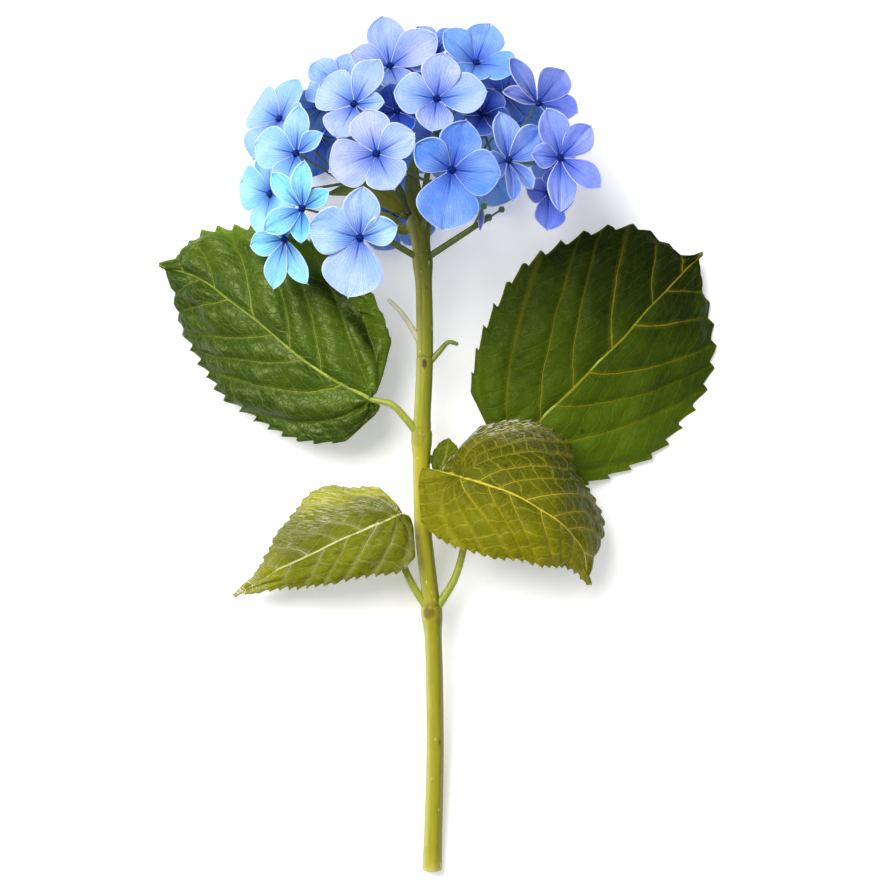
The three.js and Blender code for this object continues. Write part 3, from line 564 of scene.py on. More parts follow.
def stem_material():
    """Yellow-green below, olive above, dark under the head; joints, scars, lenticels, a pale cut, and painted
    light: shade down the right side, a highlight down the left.
    """
    m = Shade("stem", 0.38, subsurface=0.08, radius=(0.4, 0.7, 0.2), specular=0.4, glint=(1, 0.97, 0.65))
    height = m.value("height")
    ramp = m.tree.nodes.new("ShaderNodeValToRGB")
    m.set(ramp, "Fac", m.math("DIVIDE", height, 300.0))
    stops = [
        (0.0, "c3b03a"), (0.03, "a09a1c"), (0.36, "948e14"), (0.5, "9a9616"), (0.6, "aca218"),
        (0.68, "8a8c14"), (0.85, "7d7f16"), (0.92, "5a5e10"), (1.0, "464a0e"),
    ]
    for k, (position, colour) in enumerate(stops):
        stop = ramp.color_ramp.elements[k] if k < 2 else ramp.color_ramp.elements.new(position)
        stop.position = position
        stop.color = (*srgb(colour), 1)
    streaks = m.noise(m.scaled(m.where(), (1.0, 0.06, 1.0)), 700, 4)
    mottle = m.noise(m.where(), 110, 4)
    # painted shade: the side where shaded nears 1 (the right) is darkened; painted highlight: the side where it
    # nears 0 (the left) is lightened
    in_shade = m.mix(1.0, ramp.outputs[0], (0.42, 0.48, 0.25), "MULTIPLY")
    body = m.mix(m.ramp(m.value("shaded"), 0.4, 1.0, 0.0, 0.85), ramp.outputs[0], in_shade)
    body = m.mix(m.ramp(m.value("shaded"), 0.05, 0.4, 0.4, 0.0), body, srgb("dcd88c"))
    body = m.mix(m.ramp(streaks, 0.3, 0.75, 0, 0.4), body, m.mix(1.0, body, (0.62, 0.66, 0.4), "MULTIPLY"))
    body = m.mix(m.ramp(mottle, 0.5, 0.8, 0, 0.35), body, srgb("7a7a1c"))
    dots = m.ramp(m.cells(m.scaled(m.where(), (1.0, 0.4, 1.0)), 380, "F1"), 0.1, 0.17, 1, 0)
    dots = m.math("MULTIPLY", dots, m.ramp(m.noise(m.where(), 190, 1), 0.52, 0.6, 0, 0.55))
    body = m.mix(dots, body, srgb("dcd79c"))
    corky = m.math("MULTIPLY", m.value("brown"), m.ramp(mottle, 0.25, 0.55, 0.5, 1.0))
    body = m.mix(corky, body, srgb("4b2d12"))
    body = m.mix(m.value("pale"), body, srgb("cfd095"))
    m.base(body)
    m.rough(m.ramp(streaks, 0.2, 0.8, 0.32, 0.55))
    m.bump(m.math("ADD", m.math("ADD", streaks, dots), m.value("brown")), 0.14, 0.6)
    return m.material


def make_stem(material):
    sides, steps = 56, 520
    heights = np.concatenate([[0.0, 0.25], np.linspace(0.8, KNOB + KNOB_RADIUS * 0.9, steps)])
    angle = np.linspace(0, 2 * math.pi, sides, endpoint=False)
    rings, height_at, brown, pale, shaded = [], [], [], [], []
    marks = [  # height, angle round from the right, half height, half width in radians, how brown
        (227.7, 1.6, 2.2, 0.32, 1.0),
        (195.0, 2.0, 4.5, 0.8, 0.28),
        (58.0, 1.0, 1.0, 0.2, 0.6),
        (116.0, 1.9, 3.0, 0.7, 0.6),
        (112.0, 0.7, 1.6, 0.5, 0.55),
        (150.0, 2.3, 0.9, 0.15, 0.5),
        (262.0, 1.2, 1.0, 0.2, 0.5),
    ]
    for h in heights:
        centre = stem_at(min(h, KNOB)) + np.array([0, max(0, h - KNOB), 0])
        tangent = STEM.tangent(np.interp(min(h, KNOB), STEM.points[:, 1], STEM.shares))
        side = unit(np.cross(tangent, [0, 0, 1.0]))
        out = unit(np.cross(side, tangent))
        radius = stem_radius(min(h, KNOB))
        radius += (KNOB_RADIUS - STEM_RADIUS) * math.exp(-(((h - KNOB) / 6.5) ** 2))
        if h > KNOB:
            radius = KNOB_RADIUS * math.sqrt(max(0.02, 1 - ((h - KNOB) / KNOB_RADIUS) ** 2))
        if h < 0.8:
            radius -= 0.35 * (0.8 - h)
        ring = np.full(sides, radius)
        ring += 0.1 * np.cos(6 * angle + 0.01 * h) + 0.07 * np.cos(3 * angle + 1 + h / 70)
        for joint in (LOWER_LEAVES, UPPER_LEAVES, FIRST_RAYS):
            ring -= 0.28 * math.exp(-(((h - joint - 4.5) / 0.8) ** 2))
            ring += 0.2 * math.exp(-(((h - joint - 2.5) / 1.2) ** 2))
        ring -= 0.22 * math.exp(-(((h - SCARS + 1) / 0.6) ** 2))
        rust = np.zeros(sides)
        for at, round_, tall, wide, much in marks:
            d = ((h - at) / tall) ** 2 + ((angle - round_) / wide) ** 2
            rust = np.maximum(rust, much * smooth(-d, -1.3, -0.5))
            ring -= 0.2 * much * np.exp(-d)
        rust = np.maximum(rust, 0.45 * math.exp(-(((h - SCARS + 1) / 0.55) ** 2)))
        rust = np.maximum(rust, 0.5 * math.exp(-(((h - LOWER_LEAVES - 4.2) / 0.7) ** 2)))
        rings.append(centre + ring[:, None] * (np.cos(angle)[:, None] * side + np.sin(angle)[:, None] * out))
        height_at.append(np.full(sides, h))
        brown.append(rust)
        pale.append(np.full(sides, 0.55 * math.exp(-h / 1.2)))
        # shaded: 1 on the right side and 0 on the left, for the painted shade and the painted highlight
        shaded.append(0.5 + 0.5 * np.cos(angle))
    build = Build()
    count = len(heights)
    # the cut end: a dished face with a rim, wood rays and soft pith
    cut = []
    for share, depth in ((0.93, 0.1), (0.75, 0.35), (0.5, 0.45), (0.25, 0.9), (0.0, 1.1)):
        wobble = 0.12 * np.cos(5 * angle + 9 * share)
        outwards = np.stack([np.cos(angle), np.zeros_like(angle), np.sin(angle)], -1)
        rise = np.array([0, 1, 0]) * (depth + wobble * share)[:, None]
        cut.append(stem_at(0) + CUT_END_RADIUS * share * outwards + rise)
    rings = cut[::-1] + rings
    points = np.vstack(rings)
    none = [np.zeros(sides)] * len(cut)
    build.add(
        points,
        quads(len(rings), sides, wrap=True),
        height=np.concatenate(none + height_at),
        brown=np.concatenate(none + brown),
        pale=np.concatenate([np.full(sides, 0.9)] * len(cut) + pale),
        shaded=np.concatenate([np.full(sides, 0.3)] * len(cut) + shaded),
    )
    top = (len(rings) - 1) * sides
    build.add(
        stem_at(KNOB) + np.array([0, KNOB_RADIUS, 0]), [], height=[KNOB], brown=[0], pale=[0], shaded=[0.5]
    )
    apex = build.count - 1
    build.faces += [[top + k, top + (k + 1) % sides, apex] for k in range(sides)]
    build.kinds += [0] * sides
    return build.object("stem_bark", [material], "stem")


# ---------------------------------- leaves
LEAF_NAMES = ("leaf_upper_left", "leaf_upper_right", "leaf_lower_left", "leaf_lower_right", "leaf_young")
TEETH = dict(zip(LEAF_NAMES, (20, 17, 24, 26, 6)))
SIDE_VEINS = dict(zip(LEAF_NAMES, (5.5, 5, 6, 7, 4)))
RIDGE_DEPTH = 2.2  # millimetres from the midrib to the centreline of the ridge under it
# How light each blade is painted, by share along (s) and across (t): partly the leaf's own colour, partly
# painted light and shade, such as the upper right leaf painted lighter towards its base as if lit from behind.
TONES_AND_PAINTED_LIGHT = {
    "leaf_upper_left": lambda s, t: (
        0.42 + 0.18 * t - 0.1 * s + 0.35 * smooth(t, 0.75, 1.0) * smooth(s, 0.1, 0.4)
    ),
    "leaf_upper_right": lambda s, t: (
        0.62 - 0.55 * smooth(s, 0.25, 0.95) + 0.22 * t + 0.25 * smooth(-s, -0.25, 0.0)
    ),
    "leaf_lower_left": lambda s, t: (
        0.3 + 0.75 * smooth(t, 0.55, 0.9) * smooth(-s, -0.6, -0.3) + 0.4 * smooth(s, 0.5, 0.9)
    ),
    "leaf_lower_right": lambda s, t: (
        0.42 + 0.3 * smooth(t, -0.1, 0.6) - 0.3 * smooth(-t, 0.1, 0.6) * smooth(s, 0.1, 0.5)
        + 0.2 * smooth(s, 0.7, 1.0)
    ),
    "leaf_young": lambda s, t: 0.4 + 0.2 * t,
}
# dark, light, veins, roughness, how much the net and the side veins show, gleam, half width of a vein
LEAF_LOOK = {
    "leaf_upper_left": ("1c3204", "526c0c", "8f9c3c", 0.36, 0.3, 0.55, 0.35, 0.75),
    "leaf_upper_right": ("101d01", "465c08", "8f8a1e", 0.5, 0.14, 0.5, 0.12, 0.8),
    "leaf_lower_left": ("454e03", "949204", "d2cf9a", 0.45, 0.25, 0.55, 0.15, 0.45),
    "leaf_lower_right": ("303702", "737204", "d2c440", 0.45, 0.45, 0.7, 0.15, 0.42),
    "leaf_young": ("434f06", "66720e", "8a9030", 0.5, 0.2, 0.35, 0.15, 0.5),
}
DOWN = {  # where pale hairs catch the light
    "leaf_lower_left": lambda s, t: (
        0.4 * smooth(t, 0.15, 0.5) * smooth(-s, -0.95, -0.3) + 0.85 * smooth(s, 0.74, 0.95)
    ),
    "leaf_lower_right": lambda s, t: (
        0.8 * smooth(-t, 0.5, 0.95) * smooth(-s, -0.42, -0.1) + 0.3 * smooth(s, 0.9, 1.0)
    ),
}


def field(x, y, z):
    """Smooth noise over a grid."""
    return np.array([noise.noise(Vector((u, v, z))) for u, v in zip(x.ravel(), y.ravel())]).reshape(x.shape)


def seen_reach(blade, s, t):
    """The CAD model's half widths, with a rounded base and a tip drawn out to a point."""
    drawn, start = blade.leaf.get("tip", (0.42, 0.86))
    return blade.reach(s, t) * np.minimum(1, s / 0.05 + 0.001) ** 0.5 * (1 - drawn * smooth(s, start, 0.985))


def margin_lengths(blade, shares, side):
    """How far along the margin each share of the midrib is, as a share of the whole margin."""
    t = np.full(shares.shape, float(side))
    points = blade.at(shares, t, seen_reach(blade, shares, t) - blade.reach(shares, t))[0]
    way = np.concatenate([[0], np.cumsum(np.linalg.norm(np.diff(points, axis=0), axis=1))])
    return way / way[-1]


def make_leaf(name, blade_material, stalk):
    leaf = LEAVES[name]
    blade = Blade(leaf)
    small = name == "leaf_young"
    size = blade.length / 110
    rows, half_columns = (90, 16) if small else (TEETH[name] * 12, 36)
    shares = np.linspace(0, 1, rows + 1) ** 1.15
    half = np.concatenate([[0, 0.004], np.linspace(0.02, 1, half_columns) ** 0.85])
    t = np.concatenate([-half[::-1], half[1:]])
    s, t = np.meshgrid(shares, t, indexing="ij")
    a = np.abs(t)
    # saw teeth that point forward, evenly spaced along each margin
    left_way, right_way = (margin_lengths(blade, shares, sign)[:, None] for sign in (-1, 1))
    along = np.where(t < 0, left_way, right_way)
    tooth = (along * TEETH[name] + np.where(t < 0, 0.3, 0.0)) % 1.0
    saw = np.where(tooth < 0.86, (tooth / 0.86) ** 1.5, 1 - (tooth - 0.86) / 0.14)
    edge = smooth(a, 0.88, 1.0) * smooth(s, 0.03, 0.12) * (1 - 0.7 * smooth(s, 0.9, 1.0))
    depth = (0.8 if "lower" in name else 1.0) * size
    reach = seen_reach(blade, s, t)
    wider = reach - blade.reach(s, t) + 2.6 * depth * (saw - 0.5) * edge
    points, tangent, across = blade.at(s, t, wider)
    points += tangent * (1.3 * depth * edge * saw)[..., None]
    # where the veins run: straight off the midrib at first, then bending towards the tip
    wide = blade.of_half("width", t)
    back = blade.of_half("lobe", t) * blade.length * np.maximum(0, 1 - s / 0.35) ** 1.5 * np.sqrt(a)
    off = a * reach
    run = s * blade.midrib.length - back - 0.8 * off - 1.0 * off**2 / wide
    spacing = blade.midrib.length / SIDE_VEINS[name]
    fanned = run / np.maximum(off, 0.5) * wide * 0.6
    phase = np.where(run < 0, np.maximum(fanned, -4 * spacing), run) / spacing
    phase = phase + np.where(t < 0, 0.45, 0.0) + 0.12 * np.sin(2.3 * phase + len(name))
    line = np.abs(phase - np.round(phase))
    between = np.abs((off / 5.5 + 0.8 * (phase % 1) + 0.618 * np.floor(phase)) % 1 - 0.5) * 2
    inner = smooth(a, 0.02, 0.15) * (1 - 0.7 * smooth(a, 0.8, 1.0))
    quilt = np.sin(math.pi * np.clip(line * 2, 0, 1) / 2) ** 0.8 - 0.5
    lift = (1.8 if name == "leaf_upper_left" else 1.3) * size * quilt * inner
    lift += 0.38 * size * (1 - between**2) * smooth(line, 0.06, 0.25) * inner
    lift -= 1.0 * size * np.exp(-((off / 1.8) ** 2)) * (1 - 0.6 * s)
    lift += 1.6 * size * field(s * 8, t * 5, 3.7 * len(name)) + 0.35 * size * field(s * 36, t * 22, 9.1)
    waves = np.sin(s * 17 + np.where(t < 0, 0.0, 2.1))
    lift += 1.3 * size * waves * smooth(a, 0.55, 1.0) * smooth(s, 0.1, 0.3)
    d_s, d_t = np.gradient(points, axis=0), np.gradient(points, axis=1)
    normal = unit(np.cross(d_t, d_s))
    tone = TONES_AND_PAINTED_LIGHT[name](s, t)
    if name == "leaf_upper_left":  # its right margin folds up towards the viewer
        flap = smooth(s, 0.03, 0.12) * smooth(-s, -0.8, -0.5)
        lift += flap * (6.5 * smooth(t, 0.72, 1.0) - 2.2 * np.exp(-(((t - 0.7) / 0.1) ** 2)))
        points = points - across * (3.2 * flap * smooth(t, 0.8, 1.0))[..., None]
        # painted shade along the crease of the fold and painted light on the raised flap
        tone = tone + flap * (0.25 * smooth(t, 0.72, 0.85) - 0.7 * np.exp(-(((t - 0.68) / 0.07) ** 2)))
    if name == "leaf_lower_left":  # its upper margin folds over near the base
        flap = smooth(s, 0.12, 0.3) * smooth(-s, -0.75, -0.45)
        lift += flap * (3.6 * smooth(t, 0.55, 0.9) - 1.2 * np.exp(-(((t - 0.5) / 0.1) ** 2)))
    points = points + normal * lift[..., None]
    build = Build()
    build.add(
        points,
        quads(rows + 1, t.shape[1]),
        0,
        tone=tone.ravel(),
        phase=phase.ravel(),
        middle=(t * reach * (1 + 0.9 * s)).ravel(),
        margin=(1 - a).ravel(),
        down=DOWN.get(name, lambda s, t: 0 * s)(s, t).ravel(),
        spacing=np.full(t.size, spacing),
        along=s.ravel(),
    )
    made = build.object(name + "_blade", [blade_material], name)
    thicken(made, BLADE_SHEET)
    # the stalk, which runs on as a ridge under the blade
    near, far = (np.array(v, float) for v in leaf["face"])
    base = np.array(leaf["midrib"][0], float)
    slim = 0.45 if small else 1.0
    way = [leaf["root"], *leaf["petiole"], base - 1.5 * slim * near]
    way.append(base + 0.12 * (np.array(leaf["midrib"][1]) - base) - RIDGE_DEPTH * slim * near)
    under = Build()
    under.tube(
        Curve(way),
        lambda u: slim * PETIOLE_RADIUS * (1 - 0.35 * u) * (1 + 0.35 * math.exp(-u / 0.06)),
        sides=20,
        steps=60,
    )
    share = np.linspace(0.02, 0.9, 16)
    lines = blade.midrib.tangent(share)
    faces = near + (far - near) * share[:, None]
    upright = unit(np.cross(np.cross(lines, faces), lines))
    ridge = Curve(blade.midrib.at(share) - RIDGE_DEPTH * slim * upright)
    under.tube(ridge, lambda u: slim * (1.15 * (1 - u) + 0.2), 10, 60)
    under.object(name + "_stalk", [stalk], name)


# ---------------------------------- florets: the CAD model's plan, on its settled places
FRONT_FLORETS = [
    dict(turn=4, tip=-5, sepals=[(74, 22), (-6, 21), (262, 26), (146, 19)], tint="5f8fe0"),
    dict(turn=4, tip=14, sepals=[(82, 20), (173, 18.5), (263, 16), (8, 22)], tint="a5b8f2"),
    dict(turn=-6, tip=4, sepals=[(103, 20), (27, 18.5), (202, 21.5), (297, 18)], tint="b0bdf2"),
    dict(turn=-16, tip=14, sepals=[(146, 20), (58, 22), (-3, 14), (252, 18)], tint="a9bdf3"),
    dict(turn=-20, tip=6, sepals=[(86, 21), (32, 15), (166, 20), (255, 15)], tint="a3cdf6"),
    dict(turn=-14, tip=-4, sepals=[(130, 20.5), (84, 20.5), (30, 14.5), (210, 18.5), (268, 15)], tint="8fdcf6"),
    dict(turn=-22, tip=-16, sepals=[(190, 16), (255, 23), (299, 22), (92, 14)], tint="9ce2fa"),
    dict(turn=-5, tip=-8, sepals=[(84, 22), (18, 17.5), (259, 26), (164, 22)], tint="aac8f8"),
    dict(turn=18, tip=2, sepals=[(108, 22), (46, 20), (178, 14), (322, 21), (268, 23.5)], tint="8295ee"),
    dict(turn=36, tip=4, sepals=[(104, 21), (40, 22), (318, 17), (272, 18), (200, 15)], tint="85a5f2"),
    dict(turn=20, tip=24, cup=0.2, sepals=[(132, 22), (52, 18), (178, 18), (338, 17)], tint="6a7bcb"),
    dict(turn=14, tip=30, cup=0.3, sepals=[(70, 19), (150, 18), (250, 15), (335, 18)], tint="7aaaf0"),
    dict(turn=0, tip=20, sepals=[(98, 23), (30, 24), (165, 18), (290, 14)], tint="a3b0ee"),
    dict(turn=-20, tip=30, sepals=[(66, 18), (140, 17), (215, 16), (320, 15)], tint="9dbcf3"),
    dict(turn=4, tip=30, sepals=[(115, 17), (55, 16), (200, 16), (320, 16)], tint="7fa3ee"),
    dict(turn=-42, tip=20, spin=60, tint="9cc0f5"),
    dict(turn=-50, tip=-4, spin=75, tint="a2dcf8"),
    dict(turn=30, tip=-10, sepals=[(262, 16), (345, 13), (95, 11), (170, 13)], tint="7b90ec"),
    # The last two front florets show only in gaps deep in the head: their dark tints are partly the florets'
    # own blue and partly painted shade.
    dict(turn=-4, tip=16, sepals=[(15, 14), (105, 13), (195, 14), (285, 13)], tint="1f5cc4"),
    dict(turn=16, tip=26, sepals=[(65, 14), (155, 14), (245, 14), (335, 13)], tint="2058bc"),
]
RIM_FLORETS, BACK_FLORETS, RIM_FROM, RIM_TO, GOLDEN_ANGLE = 4, 7, 2, 140, 137.5
RIM_TINTS = ["6f8fe6", "5c8ae0", "6c9ee8", "8ab8f0"]
BACK_TINTS = ["6f9fe8", "5f90e0", "7fb4f2", "5c86dc", "74a4ee", "86a8ee", "6a98e4"]


def all_rows():
    rows = [dict(row) for row in FRONT_FLORETS]
    for k in range(RIM_FLORETS):
        a = math.radians(RIM_FROM + (RIM_TO - RIM_FROM) * k / (RIM_FLORETS - 1))
        rows.append(dict(facing=(math.cos(a), math.sin(a), -0.5), spin=k * 34, tint=RIM_TINTS[k]))
    for k in range(BACK_FLORETS):
        reach, a = math.sqrt((k + 0.5) / BACK_FLORETS), math.radians(k * GOLDEN_ANGLE + 60)
        facing = (0.5 * reach * math.cos(a), 0.5 * reach * math.sin(a), -1)
        rows.append(dict(facing=facing, spin=k * 40, tint=BACK_TINTS[k]))
    return rows


def turned_to(facing):
    """The turn that takes +Z to facing, by the shortest way."""
    q = Vector((0, 0, 1)).rotation_difference(Vector(facing))
    return np.array(q.to_matrix())


def sepal_outline(s):
    return np.maximum(0, np.sin(math.pi * np.clip(s, 0, 1) ** 1.25)) ** 0.72


def seen_outline(s):
    """The visible sepal's: the same claw, and a blade that draws in to a soft point."""
    after = np.clip((s - 0.56) / 0.44, 0, 1)
    return np.where(s < 0.56, sepal_outline(s), (1 - after**2.1) ** 0.8)


class Sepal:
    def __init__(self, index, k, angle, length, cup=0.0):
        self.angle, self.length, self.index, self.k = math.radians(angle), length, index, k
        self.rise = SEPAL_RISE + cup + 0.09 * variation(index, k + 8)
        self.bow = SEPAL_BOW + 0.08 * variation(index, k + 12)
        self.curl = 0.1 + 0.12 * variation(index, k + 16)
        self.start = EYE_RADIUS * 0.4

    def fit(self, others):
        turns = [other.angle - self.angle for other in others if other is not self]
        gaps = [abs(math.atan2(math.sin(turn), math.cos(turn))) for turn in turns]
        self.half = min(SEPAL_WIDTH, 1.06 * math.tan(min(gaps) / 2)) * self.length / 2

    def dish(self, s, t):
        """How high the petal's middle surface stands over the eye."""
        return self.length * (
            self.rise * s - self.bow * s * s + self.curl * 0.3 * t * t * np.sin(math.pi * s)
        )

    def plain(self, s, t):
        """The CAD model's middle surface, in the floret's own frame."""
        height = self.dish(s, t)
        out, over = self.start + (self.length - self.start) * s, t * self.half * sepal_outline(s)
        c, n = math.cos(self.angle), math.sin(self.angle)
        return np.stack([out * c - over * n, out * n + over * c, height], -1)

    def rich(self, s, t, layer):
        """The visible surface: fuller, softly ruffled and creased. Returns points and shading values."""
        seed = self.index * 7.3 + self.k * 2.1
        fuller = 1.09
        shape = np.maximum(seen_outline(0.02 + 0.98 * s), 0.16 * (1 - s) ** 0.5 * (s < 0.3))
        over = t * self.half * fuller * shape
        point = 0.03 * self.length * np.exp(-((t / 0.3) ** 2)) * s**6
        notch = 0.02 * self.length * np.abs(t) ** 2 * smooth(s, 0.55, 1.0) * variation(self.index, self.k + 30)
        out = self.start + (self.length - self.start) * s + point + notch
        height = self.dish(s, t)
        waves = np.sin(s * 9 + seed) * np.sin(t * 2.2 + seed * 1.7)
        ruffle = waves * smooth(np.abs(t), 0.25, 1.0) * smooth(s, 0.25, 0.7)
        cup = 0.05 * self.length * (np.abs(t) ** 2.2) * smooth(s, 0.1, 0.6)
        crease = -0.5 * np.exp(-((over / 1.1) ** 2)) * smooth(s, 0.0, 0.25) * smooth(-s, -1.0, -0.8)
        pleats = 0.13 * np.cos(t * 13 + seed) * smooth(s, 0.15, 0.5) * (1 - np.abs(t) ** 4)
        places = zip(s.ravel(), t.ravel())
        lump = np.array([noise.noise(Vector((x * 3.2 + seed, y * 2.6, seed))) for x, y in places])
        lump = lump.reshape(s.shape)
        height = height + 0.55 * ruffle + cup + crease + pleats + 0.75 * lump * s + layer * smooth(s, 0.05, 0.4)
        c, n = math.cos(self.angle), math.sin(self.angle)
        points = np.stack([out * c - over * n, out * n + over * c, height], -1)
        fan = np.arctan2(over, out + 3.0) / 0.35
        rim = np.minimum((1 - np.abs(t)) * self.half * np.maximum(shape, 0.05), (1 - s) * self.length * 0.6)
        return points, fan, rim, np.hypot(out, over)


RECEPTACLE = EYE_RADIUS * 0.8 + 0.3


def make_floret(index, row, sepal_look, eye_look, stalk_look):
    name = "floret_%02d" % (index + 1)
    if "facing" in row:
        facing = unit(row["facing"])
    else:
        turn, tip = math.radians(row["turn"]), math.radians(row["tip"])
        facing = np.array([math.sin(turn) * math.cos(tip), math.sin(tip), math.cos(turn) * math.cos(tip)])
    turned = turned_to(facing)
    plan = row.get("sepals") or [
        (row["spin"] + k * 90 + 6 * variation(index, k), SEPAL_LENGTH * (1 + 0.12 * variation(index, k + 4)))
        for k in range(4)
    ]
    sepals = [Sepal(index, k, angle, length, row.get("cup", 0)) for k, (angle, length) in enumerate(plan)]
    for sepal in sepals:
        sepal.fit(sepals)
    # where the CAD model's petals settled: the middle of its box, less the middle of the plan's box
    s, t = np.meshgrid(np.linspace(0, 1, 6), np.array([-1.0, 0, 1]), indexing="ij")
    local = np.vstack([sepal.plain(s, t).reshape(-1, 3) for sepal in sepals])
    box = leaned(local @ turned.T)
    settled = (cad_box(name).mean(0) - (box.min(0) + box.max(0)) / 2 - SHIFT)
    c, n = math.cos(LEAN), math.sin(LEAN)
    at = np.array([settled[0], settled[1] * c + settled[2] * n, -settled[1] * n + settled[2] * c])
    build = Build()
    rows, columns = 24, 18
    s, t = np.meshgrid(np.linspace(0, 1, rows + 1), np.linspace(-1, 1, columns + 1), indexing="ij")
    tint = np.array(srgb(row["tint"]))
    for k, sepal in enumerate(sepals):
        points, fan, rim, from_eye = sepal.rich(s, t, 0.35 if k % 2 else -0.15)
        red, green, blue = (variation(index, k + channel) for channel in (40, 41, 42))
        shift = 1 + 0.07 * np.array([red, green, 0.4 * blue])
        shade = tint * shift
        build.add(
            points.reshape(-1, 3) @ turned.T + at,
            quads(rows + 1, columns + 1),
            0,
            tint=np.tile(shade, (s.size, 1)),
            fan=fan.ravel(),
            rim=rim.ravel(),
            from_eye=from_eye.ravel(),
        )
    petals = build.object(name + "_sepals", [sepal_look], name)
    thicken(petals, SEPAL_SHEET)
    # the eye: a closed bud with four lobes, and the little cup that carries everything
    eye = Build()
    across, around = 14, 24
    turns = np.linspace(0, 2 * math.pi, around, endpoint=False)
    polar, a = np.meshgrid(np.linspace(0, math.pi, across), turns, indexing="ij")
    lobes = np.abs(np.cos(2 * a + index))
    radius = EYE_RADIUS * 0.88 * (0.7 + 0.3 * lobes**0.6) * (1 - 0.22 * np.exp(-((polar / 0.3) ** 2)))
    reach = radius * np.sin(polar)
    ball = np.stack([reach * np.cos(a), reach * np.sin(a), 0.55 + 0.85 * radius * np.cos(polar)], -1)
    # crease: 1 in the creases between the lobes, where the eye is painted darker as shade
    crease = (1 - smooth(lobes, 0.0, 0.35)).ravel()
    eye.add(ball.reshape(-1, 3) @ turned.T + at, quads(across, around, wrap=True), 0, crease=crease)
    down = Curve([at - facing * (RECEPTACLE + 1.2), at - facing * 0.8, at + facing * 0.3])
    eye.tube(down, lambda u: 0.62 + 0.75 * u**2, 14, 8, kind=1)
    eye.object(name + "_eye", [eye_look, stalk_look], name)


# ---------------------------------- the flower head's branches
def make_ray(node, material):
    """The CAD branch, remeshed so that its joints flow into each other."""
    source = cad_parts[node]
    made = bpy.data.objects.new(node + "_bark", source.data.copy())
    bpy.context.scene.collection.objects.link(made)
    remesh = made.modifiers.new("remesh", "REMESH")
    remesh.mode, remesh.voxel_size = "VOXEL", BRANCH_VOXEL * MM
    soften = made.modifiers.new("soften", "SMOOTH")
    soften.iterations, soften.factor = 6, 0.6
    baked = bpy.data.meshes.new_from_object(made.evaluated_get(bpy.context.evaluated_depsgraph_get()))
    made.modifiers.clear()
    made.data = baked
    made.data.materials.clear()
    made.data.materials.append(material)
    made.data.polygons.foreach_set("use_smooth", [True] * len(made.data.polygons))
    count = len(made.data.vertices)
    flat = np.zeros(count * 3)
    made.data.vertices.foreach_get("co", flat)
    knob = place(stem_at(KNOB))
    far = np.linalg.norm(flat.reshape(-1, 3) - knob, axis=1) / MM
    share = smooth(far, 16, 52)
    made.data.attributes.new("along", "FLOAT", "POINT").data.foreach_set("value", share.astype(np.float32))
    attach(made, "root")
    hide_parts(node)
    return made


# Small leaves at the forks of the branches, and one small petal that hangs from a bud. way, half width,
# which way the upper side looks, and whether it is a petal.
BRACTS = {
    "ray_left": [([(-12, 296, 5.5), (-29, 306, 10), (-47, 303, 11)], 4.6, (0.2, -0.5, 1), False)],
    "ray_lower_left": [([(-11, 286, 4), (-23, 292, 9), (-37, 294, 8)], 3.6, (0, 0.3, 1), False)],
    "ray_front": [([(-5, 291, 6.5), (-9, 305, 15), (-7, 321, 19)], 4.0, (0.5, 0, 1), False)],
    "ray_lower_right": [([(22, 297, 9), (22, 293, 10), (21.5, 287, 10)], 1.5, (0, 0, 1), True)],
}


def make_bract(node, number, way, half, face, petal):
    curve = Curve(way)
    s, t = np.meshgrid(np.linspace(0, 1, 31), np.linspace(-1, 1, 13), indexing="ij")
    tangent = curve.tangent(s)
    across = unit(np.cross(tangent, np.array(face, float)))
    normal = unit(np.cross(across, tangent))
    over = t * half * np.maximum(0.04, np.sin(math.pi * s**0.8)) ** 0.8
    waves = 0.25 * half * np.sin(5 * s + number) * np.abs(t)
    lift = 0.25 * half * t * t + waves - 0.4 * np.exp(-((over / 0.8) ** 2))
    build = Build()
    points = curve.at(s) + across * over[..., None] + normal * lift[..., None]
    blue = np.tile(srgb("8d8fe0"), (s.size, 1))
    rim = (1 - np.abs(t)) * half
    build.add(points, quads(31, 13), 0, along=s, tint=blue, fan=t * 0.8, rim=rim, from_eye=5 + 8 * s)
    kind, look = ("petal", sepal_look) if petal else ("bract", bract_look)
    made = build.object("%s_%s_%d" % (node, kind, number), [look], node)
    thicken(made, BRACT_SHEET)


# ---------------------------------- stubs of two lost leaves
STUBS = {
    "leaf_stub_left": (
        SCARS + 1, [(-8.5, SCARS + 11, 1), (-14, SCARS + 19, 2), (-20, SCARS + 25, 2)], "c9c3a0", "d8d4b8",
    ),
    "leaf_stub_right": (
        SCARS - 6, [(3, SCARS + 1, 1), (7.5, SCARS + 5.5, 2), (12, SCARS + 4.5, 2)], "7f8f2a", "5f6d1c",
    ),
}


def make_stub(name):
    root, way, low, high = STUBS[name]
    material = stalk_material(name, srgb(low), srgb(high), srgb("8c7d3c"), 0.2)
    curve = Curve([tuple(stem_at(root)), *way])
    build = Build()
    blunt = name.endswith("left")
    taper = (lambda u: 1 - 0.4 * u) if blunt else (lambda u: 1 - 0.45 * u)

    def width(u):
        rounded_end = 1 - 0.8 * float(smooth(u, 0.955, 1.0)) ** 2
        return STUB_RADIUS * taper(u) * (1 + 0.5 * math.exp(-u / 0.09)) * rounded_end

    build.tube(curve, width, 18, 70)
    build.object(name + "_bark", [material], name)


